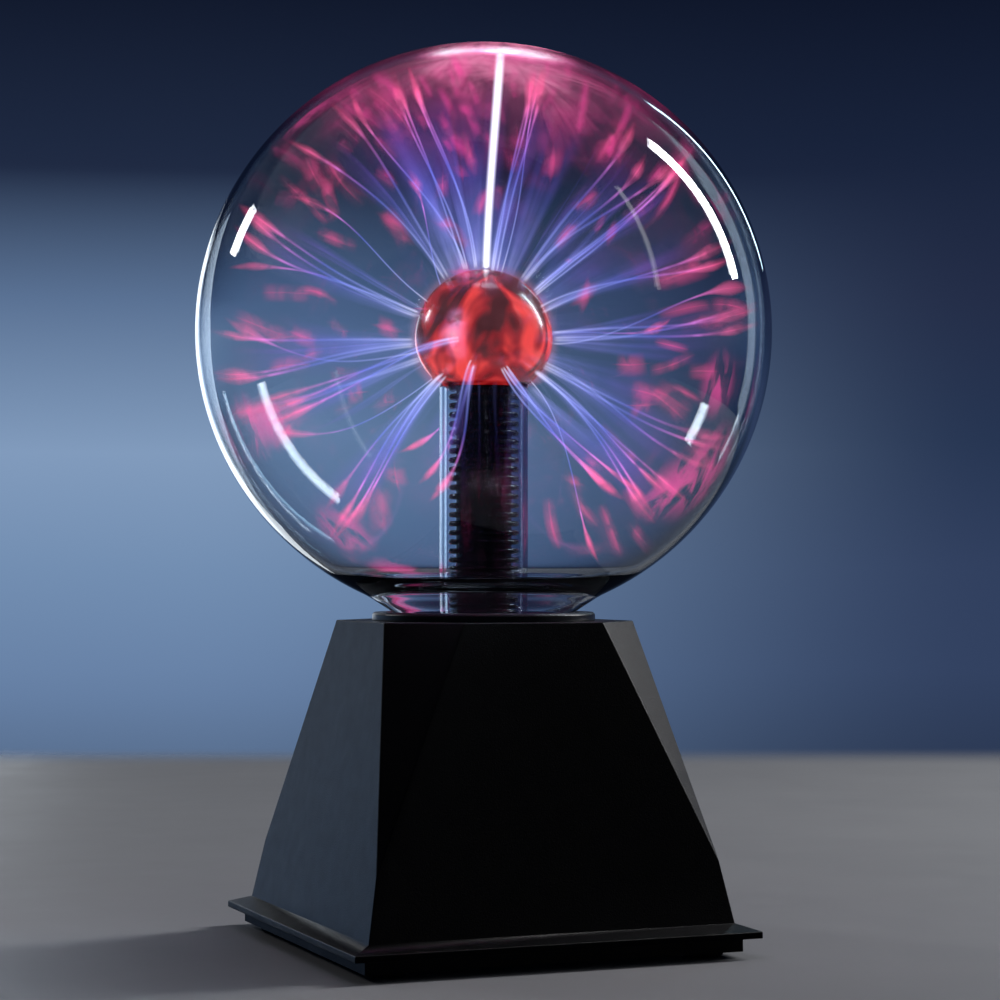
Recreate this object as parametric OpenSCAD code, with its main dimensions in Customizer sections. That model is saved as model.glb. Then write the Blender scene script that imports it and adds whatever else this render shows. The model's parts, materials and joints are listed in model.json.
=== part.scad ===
// Plasma ball: a glass globe on a faceted base that holds its high-voltage supply.
// Millimetres. +Z is up, the table is z = 0, the front is -Y and the origin is the middle of the feet.

/* [Globe] */
// Outside diameter of the glass globe
globe_d = 203.2; // [160:0.1:250]
// Glass wall of the globe
globe_wall = 2.2; // [1.5:0.1:3]
// Diameter at which the globe turns into its funnel
funnel_d = 82.8; // [78:0.1:110]
// Height of the funnel between the neck and the globe
funnel_h = 6.4; // [5:0.1:10]
// Outside diameter of the glass neck
neck_d = 62.5; // [52:0.1:75]
// Glass wall of the neck
neck_wall = 2.2; // [1.5:0.1:3]
// Length of neck that shows above the base
neck_rise = 2.4; // [1:0.1:8]
// Length of neck inside the base
neck_depth = 24.9; // [16:0.1:40]

/* [Electrode] */
// Outside diameter of the electrode ball
ball_d = 48.9; // [40:0.1:60]
// Glass wall of the electrode ball
ball_wall = 1.6; // [1:0.1:3]
// Height of the ball's lower half as a share of its upper half
ball_squash = 0.85; // [0.8:0.01:1]
// How far the ball's centre lies below the globe's centre
ball_drop = 2.3; // [-20:0.1:30]
// Outside diameter of the stem tube
stem_d = 31.4; // [29:0.1:38]
// Glass wall of the stem tube
stem_wall = 1.6; // [1:0.1:1.8]
// Thickness of the flare that seals the stem into the neck
flare_t = 2.4; // [1.5:0.1:4]

/* [Insulator sleeve] */
// Diameter over the ribs
rib_d = 25; // [20:0.1:25.4]
// Diameter between the ribs
sleeve_d = 19.8; // [12:0.1:21]
// Distance from one rib to the next
rib_pitch = 3.2; // [2:0.1:6]
// Width of a rib at its foot
rib_w = 1.9; // [1:0.1:1.9]
// Length of sleeve below the seat's floor
sleeve_tail = 4.5; // [2:0.1:10]
// Height of the sleeve's dome above the foot of the ball
sleeve_dome = 3.6; // [2:0.1:8]
// Diameter of the high-voltage lead
lead_d = 3.8; // [2:0.1:5]

/* [Base] */
// Width of the base where its slopes start
base_w = 130.8; // [124:0.1:160]
// Height of the base's top above the table
base_h = 112.9; // [108:0.1:150]
// Width of the base's top across its long edges
top_w = 92.5; // [88:0.1:112]
// Length of each long edge of the top
top_edge = 50.6; // [44:0.1:70]
// Height at which each corner facet comes to a point
facet_tip_z = 31.8; // [26:0.1:50]
// Wall of the base
base_wall = 2.5; // [2:0.1:3.5]
// Thickness of the base's top
top_t = 3; // [2:0.1:4]
// Width of the lip round the foot
lip_w = 144.8; // [138:0.1:180]
// Thickness of the lip at its edge
lip_t = 2.2; // [1.5:0.1:4]
// Rise of the lip from its edge to the slopes
lip_rise = 2.4; // [1:0.1:5]

/* [Collar and seat] */
// Width of the collar's ring beyond the neck
collar_ring = 8.1; // [6:0.1:12]
// Height of the collar's ring
collar_h = 3; // [2:0.1:4]
// Length of the collar's skirt below the ring
collar_skirt = 8.9; // [6:0.1:10]
// Wall of the collar's skirt
collar_wall = 2; // [1.5:0.1:3]
// Thickness of the silicone gasket round the neck
gasket_t = 2.25; // [1.5:0.05:3]
// Height of gasket up the side of the neck
gasket_lap = 8; // [5:0.1:12]
// Thickness of the seat's wall and floor
seat_t = 2.5; // [2:0.1:4]
// Diameter of the bosses that the seat is screwed to
boss_d = 8; // [6:0.1:10]
// Diameter of the screws' shanks
screw_d = 2.9; // [2.5:0.1:3.5]

/* [Bottom] */
// How far the cover is set in from the lip's edge
cover_inset = 5; // [2:0.1:7]
// Height of the cover between the feet and the lip
cover_h = 4.8; // [4:0.1:8]
// Thickness of the cover's floor
floor_t = 2.5; // [2:0.1:3]
// Height of the rubber feet
foot_h = 2; // [1.5:0.1:5]
// Diameter of the rubber feet
foot_d = 15; // [12:0.1:18]
// Diameter of the housing's screw posts
post_d = 10; // [8:0.1:12]
// Height of the housing's screw posts
post_h = 24; // [20:0.1:30]

/* [Circuit board] */
// Width of the board
board_w = 96; // [94:0.1:104]
// Depth of the board
board_l = 80; // [80:0.1:86]
// Thickness of the board
board_t = 1.6; // [1:0.1:2]
// Height of the cover's standoffs
standoff_h = 6.5; // [5:0.1:10]
// Width of the transformer's core
core_w = 44; // [42:0.1:46]
// Height of the transformer's core
core_h = 42; // [38:0.1:48]
// Side of the core's square limbs
core_limb = 9; // [7:0.1:9.5]
// Diameter of the potted high-voltage coil
coil_d = 31; // [26:0.1:32]

/* [Switch] */
// Width of the switch's cut-out
switch_w = 12.8; // [12.2:0.1:16]
// Height of the switch's cut-out, along the slope
switch_l = 19.4; // [18:0.1:24]
// Depth of the switch's case behind the wall
switch_depth = 15; // [13:0.1:20]
// Width of the bezel beyond the cut-out
bezel_rim = 1.2; // [0.8:0.1:2]
// Height of the bezel
bezel_h = 2; // [1.5:0.1:3]
// Tilt of the rocker from its middle position at each end of its travel
rocker_tilt = 11; // [6:0.5:13]
// Diameter of the rocker's pivot pins
pivot_d = 2.4; // [1.6:0.1:3]

/* [Power inlet] */
// Diameter of the inlet's threaded barrel
jack_d = 11; // [9:0.1:13]
// Diameter of the inlet's socket
socket_d = 6; // [5.7:0.1:6.6]
// Diameter of the inlet's centre pin
jack_pin_d = 2.1; // [1.7:0.1:2.5]
// Depth of the inlet's socket
socket_depth = 9.5; // [8:0.1:11]

/* [Clearances] */
// Gap round the neck inside the collar
neck_gap = 0.75; // [0.3:0.05:1.5]
// Gap between plastic parts that drop into each other
fit_gap = 0.2; // [0.1:0.05:0.4]
// Radial gap of the rocker's pivot pins
pivot_gap = 0.05; // [0.02:0.01:0.1]
// Gap between the rocker and its frame
rocker_gap = 0.3; // [0.2:0.05:0.5]
// Radial gap between the sleeve's foot and the stem's glass
sleeve_gap = 0.3; // [0.2:0.05:0.6]

/* [Hidden] */
$fn = 96;
eps = 0.01;

// Heights, from the table up
lip_z = foot_h + cover_h;
slope_z = lip_z + lip_t + lip_rise;
floor_z = foot_h + floor_t;
board_z = floor_z + standoff_h;
parts_z = board_z + board_t;
under_top = base_h - top_t;
neck_foot_z = base_h - neck_depth;
neck_top_z = base_h + neck_rise;
funnel_top_z = neck_top_z + funnel_h;
globe_z = funnel_top_z + sqrt(pow(globe_d / 2, 2) - pow(funnel_d / 2, 2));
ball_z = globe_z - ball_drop;
ball_foot_z = ball_z - ball_squash * sqrt(pow(ball_d / 2, 2) - pow(stem_d / 2, 2));
seat_floor_z = neck_foot_z - gasket_t;
seat_z = seat_floor_z - seat_t;

// Slopes of the base: the long faces are planes, and a plane cuts each corner above its tip
slope = (base_w - top_w) / 2 / (base_h - slope_z);
wall_tilt = atan(slope);
function wall_half(z, inset = 0) = base_w / 2 - slope * (z - slope_z) - inset * sqrt(1 + slope * slope);
tip_half = wall_half(facet_tip_z);
facet_slope = (2 * tip_half - top_w / 2 - top_edge / 2) / (base_h - facet_tip_z);
function facet_sum(z, inset = 0) =
    2 * tip_half - facet_slope * (z - facet_tip_z) - inset * sqrt(2 + facet_slope * facet_slope);
function tip_height(inset = 0) = facet_tip_z
    + inset * (2 * sqrt(1 + slope * slope) - sqrt(2 + facet_slope * facet_slope)) / (facet_slope - 2 * slope);

// Collar, gasket and seat, from the neck outwards
neck_r = neck_d / 2;
neck_in_r = neck_r - neck_wall;
collar_bore_r = neck_r + neck_gap;
skirt_r = collar_bore_r + collar_wall;
gasket_r = neck_r + gasket_t;
seat_r = gasket_r + seat_t;
boss_at = seat_r + boss_d / 2 + 4;
snap_h = 1;
snap_reach = 0.7;
stem_in_r = stem_d / 2 - stem_wall;
sleeve_foot_r = stem_d / 2 + 1.3;
sleeve_foot_t = gasket_t - fit_gap;
rib_start_z = neck_foot_z + 10;
lead_bore_r = lead_d / 2 + 0.3;
sleeve_top_z = ball_foot_z + sleeve_dome;
cap_t = 1.4;

// Screws, posts and feet
head_d = 5.6;
head_h = 1.7;
hole_d = screw_d + 0.5;
thread_l = 12;
recess_d = head_d + 0.8;
post_at = wall_half(slope_z, base_wall) - 6;
cover_half = lip_w / 2 - cover_inset;
rim_t = 2;
rim_top_z = lip_z + 3;
rim_half = wall_half(rim_top_z, base_wall) - 2 * fit_gap;
vent_w = 3;
vent_l = 34;
vent_pitch = 8;
vent_count = 7;

// Places on the board, from its front left corner, and the board's own place
board_back = board_l / 2 - 10;
board_front = board_back - board_l;
board_left = -board_w / 2;
standoff_d = 7;
standoff_inset = 5;
core_at = [board_left + 12 + core_w / 2, board_front + 36];
core_lift = 4;
core_z = parts_z + core_lift;
secondary_x = core_at.x + core_w / 2 - core_limb / 2;
primary_x = core_at.x - core_w / 2 + core_limb / 2;
window_h = core_h - 2 * core_limb;
coil_flange = 1.4;
coil_gap = 0.5;
nozzle_d = 7;
nozzle_h = 5;
nozzle_at = [secondary_x + coil_d / 2 - nozzle_d / 2 - 1.5, core_at.y];
nozzle_z = core_z + core_h - core_limb - coil_gap;
sink_at = [board_w / 2 - 20, board_front + 36];
sink_l = 40;
sink_h = 36;
sink_t = 3;
fin_depth = 13;
fin_t = 1.4;
fin_count = 8;
transistor_w = 10.2;
transistor_t = 4.5;
transistor_case_h = 9.2;
transistor_tab_h = 15.6;
transistor_tab_t = 1.3;
transistor_lift = 8;
transistor_y = (sink_l - fin_t) / (fin_count - 1) / 2;
transistor_hole_z = transistor_lift + transistor_case_h + 3.4;
capacitor_sizes = [[13, 22], [10, 17], [10, 17]];
capacitor_x = [board_left + 18, board_left + 33, board_left + 46];
front_row_y = board_front + 9;
film_x = [board_left + 60, board_left + 76];
film_size = [12, 6, 10];
back_row_y = board_back - 16;
chip_at = [board_left + 16, back_row_y];
trimmer_at = [board_left + 34, back_row_y];
microphone_at = [board_left + 24, board_back - 6];
resistor_x = [for (i = [0:5]) board_left + 45 + 4.6 * i];
resistor_l = 6.5;
resistor_d = 2.6;
header_at = [[board_left + 46, board_back - 7], [board_left + 68, board_back - 7]];
header_size = [12, 7, 6];

// Places on the back wall
switch_x = 22;
jack_x = -26;
inlet_z = 36;
pocket_l = switch_l - 2.4;
pocket_w = switch_w - 2.4;
pocket_depth = pocket_l / 2 + 0.6;
rocker_r = pocket_l / 2 - rocker_gap;
rocker_w = pocket_w - 2 * rocker_gap;
pivot_reach = 0.7;
blade_w = 4.8;
blade_t = 0.8;
blade_l = 7;
blade_pitch = 5.6;
jack_flange_d = jack_d + 3.4;
jack_flange_t = 1.8;
jack_depth = 15;
jack_tag_l = 5;
nut_t = 2.2;

// Wires
wire_r = 0.8;
wire_sides = 8;

// ---------- shared shapes ----------

// A ring or disc between two radii
module ring(outer_r, inner_r, z0, z1) {
    translate([0, 0, z0])
        difference() {
            cylinder(h = z1 - z0, r = outer_r);
            if (inner_r > 0)
                translate([0, 0, -1]) cylinder(h = z1 - z0 + 2, r = inner_r);
        }
}

// A block centred in x and y that stands on z0
module block(w, l, z0, z1) {
    translate([-w / 2, -l / 2, z0]) cube([w, l, z1 - z0]);
}

// Something repeated at the four corners of a square
module at_corners(half) {
    for (sx = [-1, 1])
        for (sy = [-1, 1])
            translate([sx * half, sy * half, 0]) children();
}

// Something repeated at four places on the diagonals, at a distance from the axis
module on_diagonals(distance) {
    for (i = [0:3])
        rotate(45 + 90 * i) translate([distance, 0, 0]) children();
}

function turned(p, quarter) = [
    p.x * cos(90 * quarter) - p.y * sin(90 * quarter),
    p.x * sin(90 * quarter) + p.y * cos(90 * quarter),
    p.z
];

// The base's sloping form between two heights, moved in from its outside by inset
module sloped_form(z0, z1, inset) {
    tip = tip_height(inset);
    foot = wall_half(z0, inset);
    middle = wall_half(tip, inset);
    top = wall_half(z1, inset);
    edge = facet_sum(z1, inset) - top;
    points = concat(
        [for (i = [0:3]) turned([foot, foot, z0], i)],
        [for (i = [0:3]) turned([middle, middle, tip], i)],
        [for (i = [0:3]) turned([top, edge, z1], i)],
        [for (i = [0:3]) turned([edge, top, z1], i)]
    );
    sides = [for (i = [0:3]) let (j = (i + 1) % 4) [i, 4 + i, 12 + i, 8 + j, 4 + j, j]];
    facets = [for (i = [0:3]) [4 + i, 8 + i, 12 + i]];
    polyhedron(points, concat([[0, 1, 2, 3]], [[15, 11, 14, 10, 13, 9, 12, 8]], sides, facets));
}

// A frame on the back wall: +z points out of the wall and +y down its slope
module on_back_wall(x, z) {
    translate([x, wall_half(z), z]) rotate([wall_tilt - 90, 0, 0]) children();
}

// A screw with a round head below z = 0, a cross in it, and its shank above
module screw(length) {
    cylinder(h = length, d = screw_d);
    difference() {
        rotate_extrude()
            polygon([[0, 0], [head_d / 2, 0], [head_d / 2, -head_h * 0.5], [head_d * 0.36, -head_h], [0, -head_h]]);
        for (turn = [0, 90])
            rotate(turn) translate([-head_d * 0.3, -0.35, -head_h - eps]) cube([head_d * 0.6, 0.7, 0.9]);
    }
}

// Points of a smooth curve that passes through every point of route
function spline_point(a, b, c, d, t) =
    0.5 * (2 * b + (c - a) * t + (2 * a - 5 * b + 4 * c - d) * t * t + (3 * b - a - 3 * c + d) * t * t * t);
function smooth(route, steps) = concat(
    [for (i = [0:len(route) - 2])
        for (s = [0:steps - 1])
            spline_point(route[max(i - 1, 0)], route[i], route[i + 1],
                route[min(i + 2, len(route) - 1)], s / steps)],
    [route[len(route) - 1]]
);
function unit(v) = v / norm(v);
function heading(path, i) = unit(path[min(i + 1, len(path) - 1)] - path[max(i - 1, 0)]);

// The sideways direction of each ring, carried along the path so that the tube doesn't twist
function carried(path, i = 0, side = undef, found = []) = i == len(path) ? found :
    let (
        h = heading(path, i),
        start = side == undef ? (abs(h.z) < 0.9 ? [0, 0, 1] : [1, 0, 0]) : side,
        now = unit(start - (start * h) * h)
    ) carried(path, i + 1, now, concat(found, [now]));

// A round wire of radius r along a path
module wire(path, r, sides = wire_sides) {
    side = carried(path);
    rings = [for (i = [0:len(path) - 1])
        for (k = [0:sides - 1])
            path[i] + r * (cos(360 * k / sides) * side[i]
                + sin(360 * k / sides) * cross(heading(path, i), side[i]))];
    skin = [for (i = [0:len(path) - 2])
        for (k = [0:sides - 1])
            let (next = (k + 1) % sides)
                [i * sides + k, (i + 1) * sides + k, (i + 1) * sides + next, i * sides + next]];
    last = (len(path) - 1) * sides;
    polyhedron(rings, concat(skin, [[for (k = [0:sides - 1]) k]], [[for (k = [sides - 1:-1:0]) last + k]]));
}

// ---------- glass ----------

// The solid that a globe, its funnel and its neck fill, for one wall surface
module globe_form(sphere_r, throat_r, throat_z, foot_z) {
    reach = funnel_h + 3;
    spread = (funnel_d / 2 - neck_r) / funnel_h;
    translate([0, 0, globe_z]) sphere(r = sphere_r, $fn = 128);
    translate([0, 0, throat_z]) cylinder(h = reach, r1 = throat_r, r2 = throat_r + spread * reach);
    translate([0, 0, foot_z]) cylinder(h = throat_z - foot_z, r = throat_r);
}

module globe() {
    color([0.75, 0.85, 0.95, 0.35])
        difference() {
            globe_form(globe_d / 2, neck_r, neck_top_z, neck_foot_z);
            globe_form(globe_d / 2 - globe_wall, neck_in_r, neck_top_z + globe_wall / 2, neck_foot_z - 1);
        }
}

// The solid that a ball fills, for one wall surface: round above its widest line and flatter below
module ball_form(r) {
    steps = $fn / 2;
    translate([0, 0, ball_z])
        rotate_extrude()
            polygon([for (i = [0:steps])
                let (a = 180 * i / steps - 90) [r * cos(a), r * sin(a) * (a < 0 ? ball_squash : 1)]]);
}

module stem_tube() {
    bend = 4;
    color([0.8, 0.88, 0.95, 0.35])
        difference() {
            union() {
                translate([0, 0, neck_foot_z]) cylinder(h = ball_z - neck_foot_z, d = stem_d);
                translate([0, 0, neck_foot_z]) cylinder(h = flare_t, r = neck_in_r);
                translate([0, 0, neck_foot_z + flare_t]) cylinder(h = bend, r1 = stem_d / 2 + bend, r2 = stem_d / 2);
            }
            translate([0, 0, neck_foot_z - 1]) cylinder(h = ball_z, r = stem_in_r);
            ball_form(ball_d / 2);
        }
}

module electrode_ball() {
    color("#c8202a")
        difference() {
            ball_form(ball_d / 2);
            ball_form(ball_d / 2 - ball_wall);
            translate([0, 0, ball_z - ball_d]) cylinder(h = ball_d, r = stem_in_r);
        }
}

// ---------- inside the stem ----------

module insulator_sleeve() {
    rib_top_z = ball_foot_z - 1;
    count = floor((rib_top_z - rib_start_z) / rib_pitch);
    tip_w = rib_w * 0.55;
    collar_r = stem_in_r - sleeve_gap;
    color("#0c0c0e")
        difference() {
            union() {
                translate([0, 0, seat_z - sleeve_tail])
                    cylinder(h = ball_foot_z - seat_z + sleeve_tail, d = sleeve_d);
                translate([0, 0, seat_floor_z]) cylinder(h = sleeve_foot_t, r = sleeve_foot_r);
                translate([0, 0, seat_floor_z]) cylinder(h = rib_start_z - 2 - seat_floor_z, r = collar_r);
                for (i = [0:count - 1])
                    translate([0, 0, rib_start_z + i * rib_pitch])
                        rotate_extrude()
                            polygon([
                                [sleeve_d / 2 - 1, 0], [sleeve_d / 2, 0], [rib_d / 2, (rib_w - tip_w) / 2],
                                [rib_d / 2, (rib_w + tip_w) / 2], [sleeve_d / 2, rib_w], [sleeve_d / 2 - 1, rib_w]
                            ]);
                translate([0, 0, rib_start_z + count * rib_pitch])
                    cylinder(h = ball_foot_z - rib_start_z - count * rib_pitch, d = rib_d);
                translate([0, 0, ball_foot_z])
                    cylinder(h = sleeve_dome, r1 = rib_d / 2, r2 = rib_d / 2 - 0.8 * sleeve_dome);
            }
            translate([0, 0, seat_z - sleeve_tail - 1]) cylinder(h = sleeve_top_z, r = lead_bore_r);
        }
}

module contact_cap() {
    color("#c9a24a")
        union() {
            translate([0, 0, sleeve_top_z]) cylinder(h = cap_t, r = rib_d / 2 - 0.8 * sleeve_dome - 0.5);
            translate([0, 0, sleeve_top_z - 4]) cylinder(h = 4, r = lead_bore_r);
        }
}

module contact_spring() {
    spring_wire = 0.5;
    foot_r = 6;
    head_r = 3;
    turns = 6;
    foot_z = sleeve_top_z + cap_t + spring_wire;
    head_z = ball_z + ball_d / 2 - ball_wall - 1.2;
    steps = turns * 12;
    color("#c8c8cc")
        wire([for (i = [0:steps])
            let (t = i / steps, r = foot_r + (head_r - foot_r) * t)
                [r * cos(360 * turns * t), r * sin(360 * turns * t), foot_z + (head_z - foot_z) * t]],
            spring_wire, 6);
}

module high_voltage_lead() {
    foot = [nozzle_at.x, nozzle_at.y, nozzle_z + nozzle_h];
    tail_z = seat_z - sleeve_tail;
    bend = smooth([
        foot + [0, 0, 2],
        foot + [0, 0, 6],
        [foot.x / 2, foot.y / 2, (foot.z + tail_z) / 2 + 1],
        [0, 0, tail_z - 4],
        [0, 0, tail_z - 1]
    ], 6);
    color("#a02018") wire(concat([foot], bend, [[0, 0, sleeve_top_z - 4]]), lead_d / 2);
}

// ---------- collar, gasket and seat ----------

module neck_collar() {
    ring_r = neck_r + collar_ring;
    color("#101115")
        difference() {
            union() {
                translate([0, 0, base_h])
                    rotate_extrude()
                        polygon([
                            [collar_bore_r, 0], [ring_r, 0], [ring_r, collar_h - 0.8],
                            [ring_r - 0.8, collar_h], [collar_bore_r, collar_h]
                        ]);
                ring(skirt_r, collar_bore_r, base_h - collar_skirt, base_h);
                ring(skirt_r + snap_reach, collar_bore_r, under_top - snap_h - fit_gap, under_top - fit_gap);
            }
            translate([0, 0, base_h + 1])
                cylinder(h = collar_h, r1 = collar_bore_r, r2 = collar_bore_r + collar_h * 1.5);
        }
}

module neck_gasket() {
    color("#8a8f96")
        union() {
            ring(gasket_r, sleeve_foot_r + 1.3, seat_floor_z, neck_foot_z);
            ring(gasket_r, neck_r, neck_foot_z, neck_foot_z + gasket_lap);
        }
}

module globe_seat() {
    ear_w = boss_d + 1;
    ear_l = boss_at - gasket_r;
    color("#2b2d31")
        difference() {
            union() {
                ring(seat_r, 0, seat_z, seat_floor_z);
                ring(seat_r, gasket_r, seat_floor_z, neck_foot_z + gasket_lap - 1);
                on_diagonals(boss_at) {
                    translate([0, 0, seat_z]) cylinder(h = seat_t, d = ear_w);
                    translate([-ear_l, -ear_w / 2, seat_z]) cube([ear_l, ear_w, seat_t]);
                }
            }
            translate([0, 0, seat_z - 1]) cylinder(h = seat_t + 2, r = sleeve_d / 2 + fit_gap);
            on_diagonals(boss_at) translate([0, 0, seat_z - 1]) cylinder(h = seat_t + 2, d = hole_d);
        }
}

module seat_screws() {
    color("#b9bcc2")
        on_diagonals(boss_at) translate([0, 0, seat_z]) screw(seat_t + thread_l);
}

// ---------- base ----------

module lip() {
    block(lip_w, lip_w, lip_z, lip_z + lip_t);
    translate([0, 0, lip_z + lip_t])
        rotate(45)
            cylinder(h = lip_rise, r1 = lip_w / 2 * sqrt(2), r2 = base_w / 2 * sqrt(2), $fn = 4);
}

module seat_bosses() {
    intersection() {
        on_diagonals(boss_at)
            translate([0, 0, seat_floor_z]) cylinder(h = under_top - seat_floor_z + 1, d = boss_d);
        sloped_form(lip_z, base_h - eps, base_wall / 2);
    }
}

module cover_posts() {
    intersection() {
        at_corners(post_at) translate([0, 0, lip_z]) cylinder(h = post_h, d = post_d);
        sloped_form(lip_z - 1, base_h - eps, base_wall / 2);
    }
}

module housing() {
    color("#17181c")
        difference() {
            union() {
                difference() {
                    union() {
                        lip();
                        sloped_form(slope_z, base_h, 0);
                    }
                    sloped_form(lip_z - 1, under_top, base_wall);
                }
                seat_bosses();
                cover_posts();
            }
            translate([0, 0, under_top - 1]) cylinder(h = top_t + 2, r = skirt_r + fit_gap);
            on_diagonals(boss_at)
                translate([0, 0, seat_floor_z - 1]) cylinder(h = thread_l + 3, d = screw_d);
            at_corners(post_at)
                translate([0, 0, lip_z - 1]) cylinder(h = thread_l + 3, d = screw_d);
            on_back_wall(switch_x, inlet_z)
                block(switch_w + 2 * fit_gap, switch_l + 2 * fit_gap, -2 * base_wall, 1);
            on_back_wall(jack_x, inlet_z)
                translate([0, 0, -2 * base_wall]) cylinder(h = 2 * base_wall + 1, d = jack_d + 2 * fit_gap);
        }
}

module bottom_cover() {
    color("#1c1d21")
        difference() {
            union() {
                block(2 * cover_half, 2 * cover_half, foot_h, floor_z);
                difference() {
                    block(2 * cover_half, 2 * cover_half, floor_z - eps, lip_z);
                    block(2 * (cover_half - rim_t), 2 * (cover_half - rim_t), floor_z - 1, lip_z + 1);
                }
                difference() {
                    block(2 * rim_half, 2 * rim_half, floor_z - eps, rim_top_z);
                    block(2 * (rim_half - rim_t), 2 * (rim_half - rim_t), floor_z - 1, rim_top_z + 1);
                    at_corners(post_at)
                        translate([0, 0, floor_z]) cylinder(h = rim_top_z, d = post_d + 4 * fit_gap);
                }
                at_corners(post_at)
                    translate([0, 0, floor_z - eps]) cylinder(h = lip_z - floor_z + eps, d = post_d);
                board_holes() cylinder(h = standoff_h + eps, d = standoff_d);
            }
            at_corners(post_at) {
                translate([0, 0, foot_h - 1]) cylinder(h = lip_z + 2, d = hole_d);
                translate([0, 0, foot_h - 1]) cylinder(h = 1 + head_h, d = recess_d);
            }
            board_holes() translate([0, 0, 1]) cylinder(h = standoff_h + 1, d = screw_d);
            for (i = [0:vent_count - 1])
                translate([(i - (vent_count - 1) / 2) * vent_pitch, 0, 0])
                    block(vent_w, vent_l, foot_h - 1, floor_z + 1);
        }
}

module rubber_feet() {
    bevel = 0.6;
    color("#0e0e10")
        at_corners(post_at)
            rotate_extrude()
                polygon([
                    [recess_d / 2, 0], [foot_d / 2 - bevel, 0], [foot_d / 2, bevel],
                    [foot_d / 2, foot_h], [recess_d / 2, foot_h]
                ]);
}

module cover_screws() {
    color("#b9bcc2")
        at_corners(post_at)
            translate([0, 0, foot_h + head_h]) screw(lip_z - foot_h - head_h + thread_l);
}

// ---------- board ----------

// Something at each of the board's four holes, standing on the cover's floor
module board_holes() {
    for (x = [board_left + standoff_inset, -board_left - standoff_inset])
        for (y = [board_front + standoff_inset, board_back - standoff_inset])
            translate([x, y, floor_z - eps]) children();
}

module circuit_board() {
    color("#1f5a34")
        difference() {
            translate([board_left, board_front, board_z]) cube([board_w, board_l, board_t]);
            board_holes() cylinder(h = standoff_h + board_t + 1, d = hole_d);
        }
}

module board_screws() {
    color("#b9bcc2")
        board_holes() translate([0, 0, standoff_h + board_t + eps]) rotate([180, 0, 0]) screw(standoff_h);
}

module transformer_core() {
    color("#3a3b3e")
        translate([core_at.x, core_at.y, 0])
            difference() {
                block(core_w, core_limb, core_z, core_z + core_h);
                block(core_w - 2 * core_limb, core_limb + 2, core_z + core_limb, core_z + core_h - core_limb);
            }
}

// The space round one upright limb of the core, for whatever is wound on it
module limb_hole(x) {
    translate([x, core_at.y, 0]) block(core_limb + 2 * fit_gap, core_limb + 2 * fit_gap, 0, core_z + core_h);
}

module high_voltage_coil() {
    z0 = core_z + core_limb + coil_gap;
    leg_at = coil_d / 2 * 0.68;
    color("#1a1a1c")
        difference() {
            union() {
                translate([secondary_x, core_at.y, z0]) cylinder(h = window_h - 2 * coil_gap, d = coil_d);
                for (sx = [-1, 1])
                    for (sy = [-1, 1])
                        translate([secondary_x + sx * leg_at, core_at.y + sy * leg_at, parts_z])
                            cylinder(h = z0 - parts_z + 2, d = 4);
                translate([nozzle_at.x, nozzle_at.y, nozzle_z - 1]) cylinder(h = nozzle_h + 1, d = nozzle_d);
            }
            limb_hole(secondary_x);
        }
}

module transformer_bobbin() {
    z0 = core_z + core_limb + coil_gap;
    flange_w = core_limb + 9;
    tube_w = core_limb + 2 * fit_gap + 2 * coil_flange;
    color("#d8cfae")
        difference() {
            translate([primary_x, core_at.y, 0]) {
                block(tube_w, tube_w, z0, z0 + window_h - 2 * coil_gap);
                block(flange_w, flange_w, z0, z0 + coil_flange);
                block(flange_w, flange_w, z0 + window_h - 2 * coil_gap - coil_flange, z0 + window_h - 2 * coil_gap);
            }
            limb_hole(primary_x);
        }
}

module transformer_winding() {
    z0 = core_z + core_limb + coil_gap + coil_flange;
    tube_w = core_limb + 2 * fit_gap + 2 * coil_flange;
    turn_d = 1;
    layers = 2;
    turns = floor((window_h - 2 * coil_gap - 2 * coil_flange) / turn_d);
    color("#b0622c")
        difference() {
            translate([primary_x, core_at.y, 0])
                for (i = [0:turns - 1])
                    block(tube_w + 2 * layers * turn_d - (i % 2) * 0.3, tube_w + 2 * layers * turn_d - (i % 2) * 0.3,
                        z0 + i * turn_d, z0 + (i + 1) * turn_d);
            translate([primary_x, core_at.y, 0]) block(tube_w, tube_w, z0 - 1, z0 + window_h);
        }
}

module heat_sink() {
    color("#b8bcc0")
        translate([sink_at.x, sink_at.y, parts_z])
            difference() {
                union() {
                    translate([-sink_t, -sink_l / 2, 0]) cube([sink_t, sink_l, sink_h]);
                    for (i = [0:fin_count - 1])
                        translate([-eps, -sink_l / 2 + i * (sink_l - fin_t) / (fin_count - 1), 0])
                            cube([fin_depth + eps, fin_t, sink_h]);
                }
                translate([-sink_t - 1, transistor_y, transistor_hole_z])
                    rotate([0, 90, 0]) cylinder(h = sink_t + 2, d = screw_d);
            }
}

module power_transistor() {
    translate([sink_at.x - sink_t, sink_at.y + transistor_y, parts_z]) {
        color("#c0c2c6")
            difference() {
                translate([-transistor_tab_t, -transistor_w / 2, transistor_lift])
                    cube([transistor_tab_t, transistor_w, transistor_tab_h]);
                translate([-transistor_tab_t - 1, 0, transistor_hole_z])
                    rotate([0, 90, 0]) cylinder(h = transistor_tab_t + 2, d = hole_d);
            }
        color("#1a1a1c")
            translate([-transistor_t, -transistor_w / 2, transistor_lift])
                cube([transistor_t, transistor_w, transistor_case_h]);
        color("#c0c2c6")
            for (i = [-1:1])
                translate([-transistor_t + 1.6, i * 2.54 - 0.4, 0]) cube([0.5, 0.8, transistor_lift + 1]);
    }
}

module transistor_screw() {
    color("#b9bcc2")
        translate([sink_at.x - sink_t - transistor_tab_t, sink_at.y + transistor_y, parts_z + transistor_hole_z])
            rotate([0, 90, 0]) screw(transistor_tab_t + sink_t + 1);
}

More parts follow.
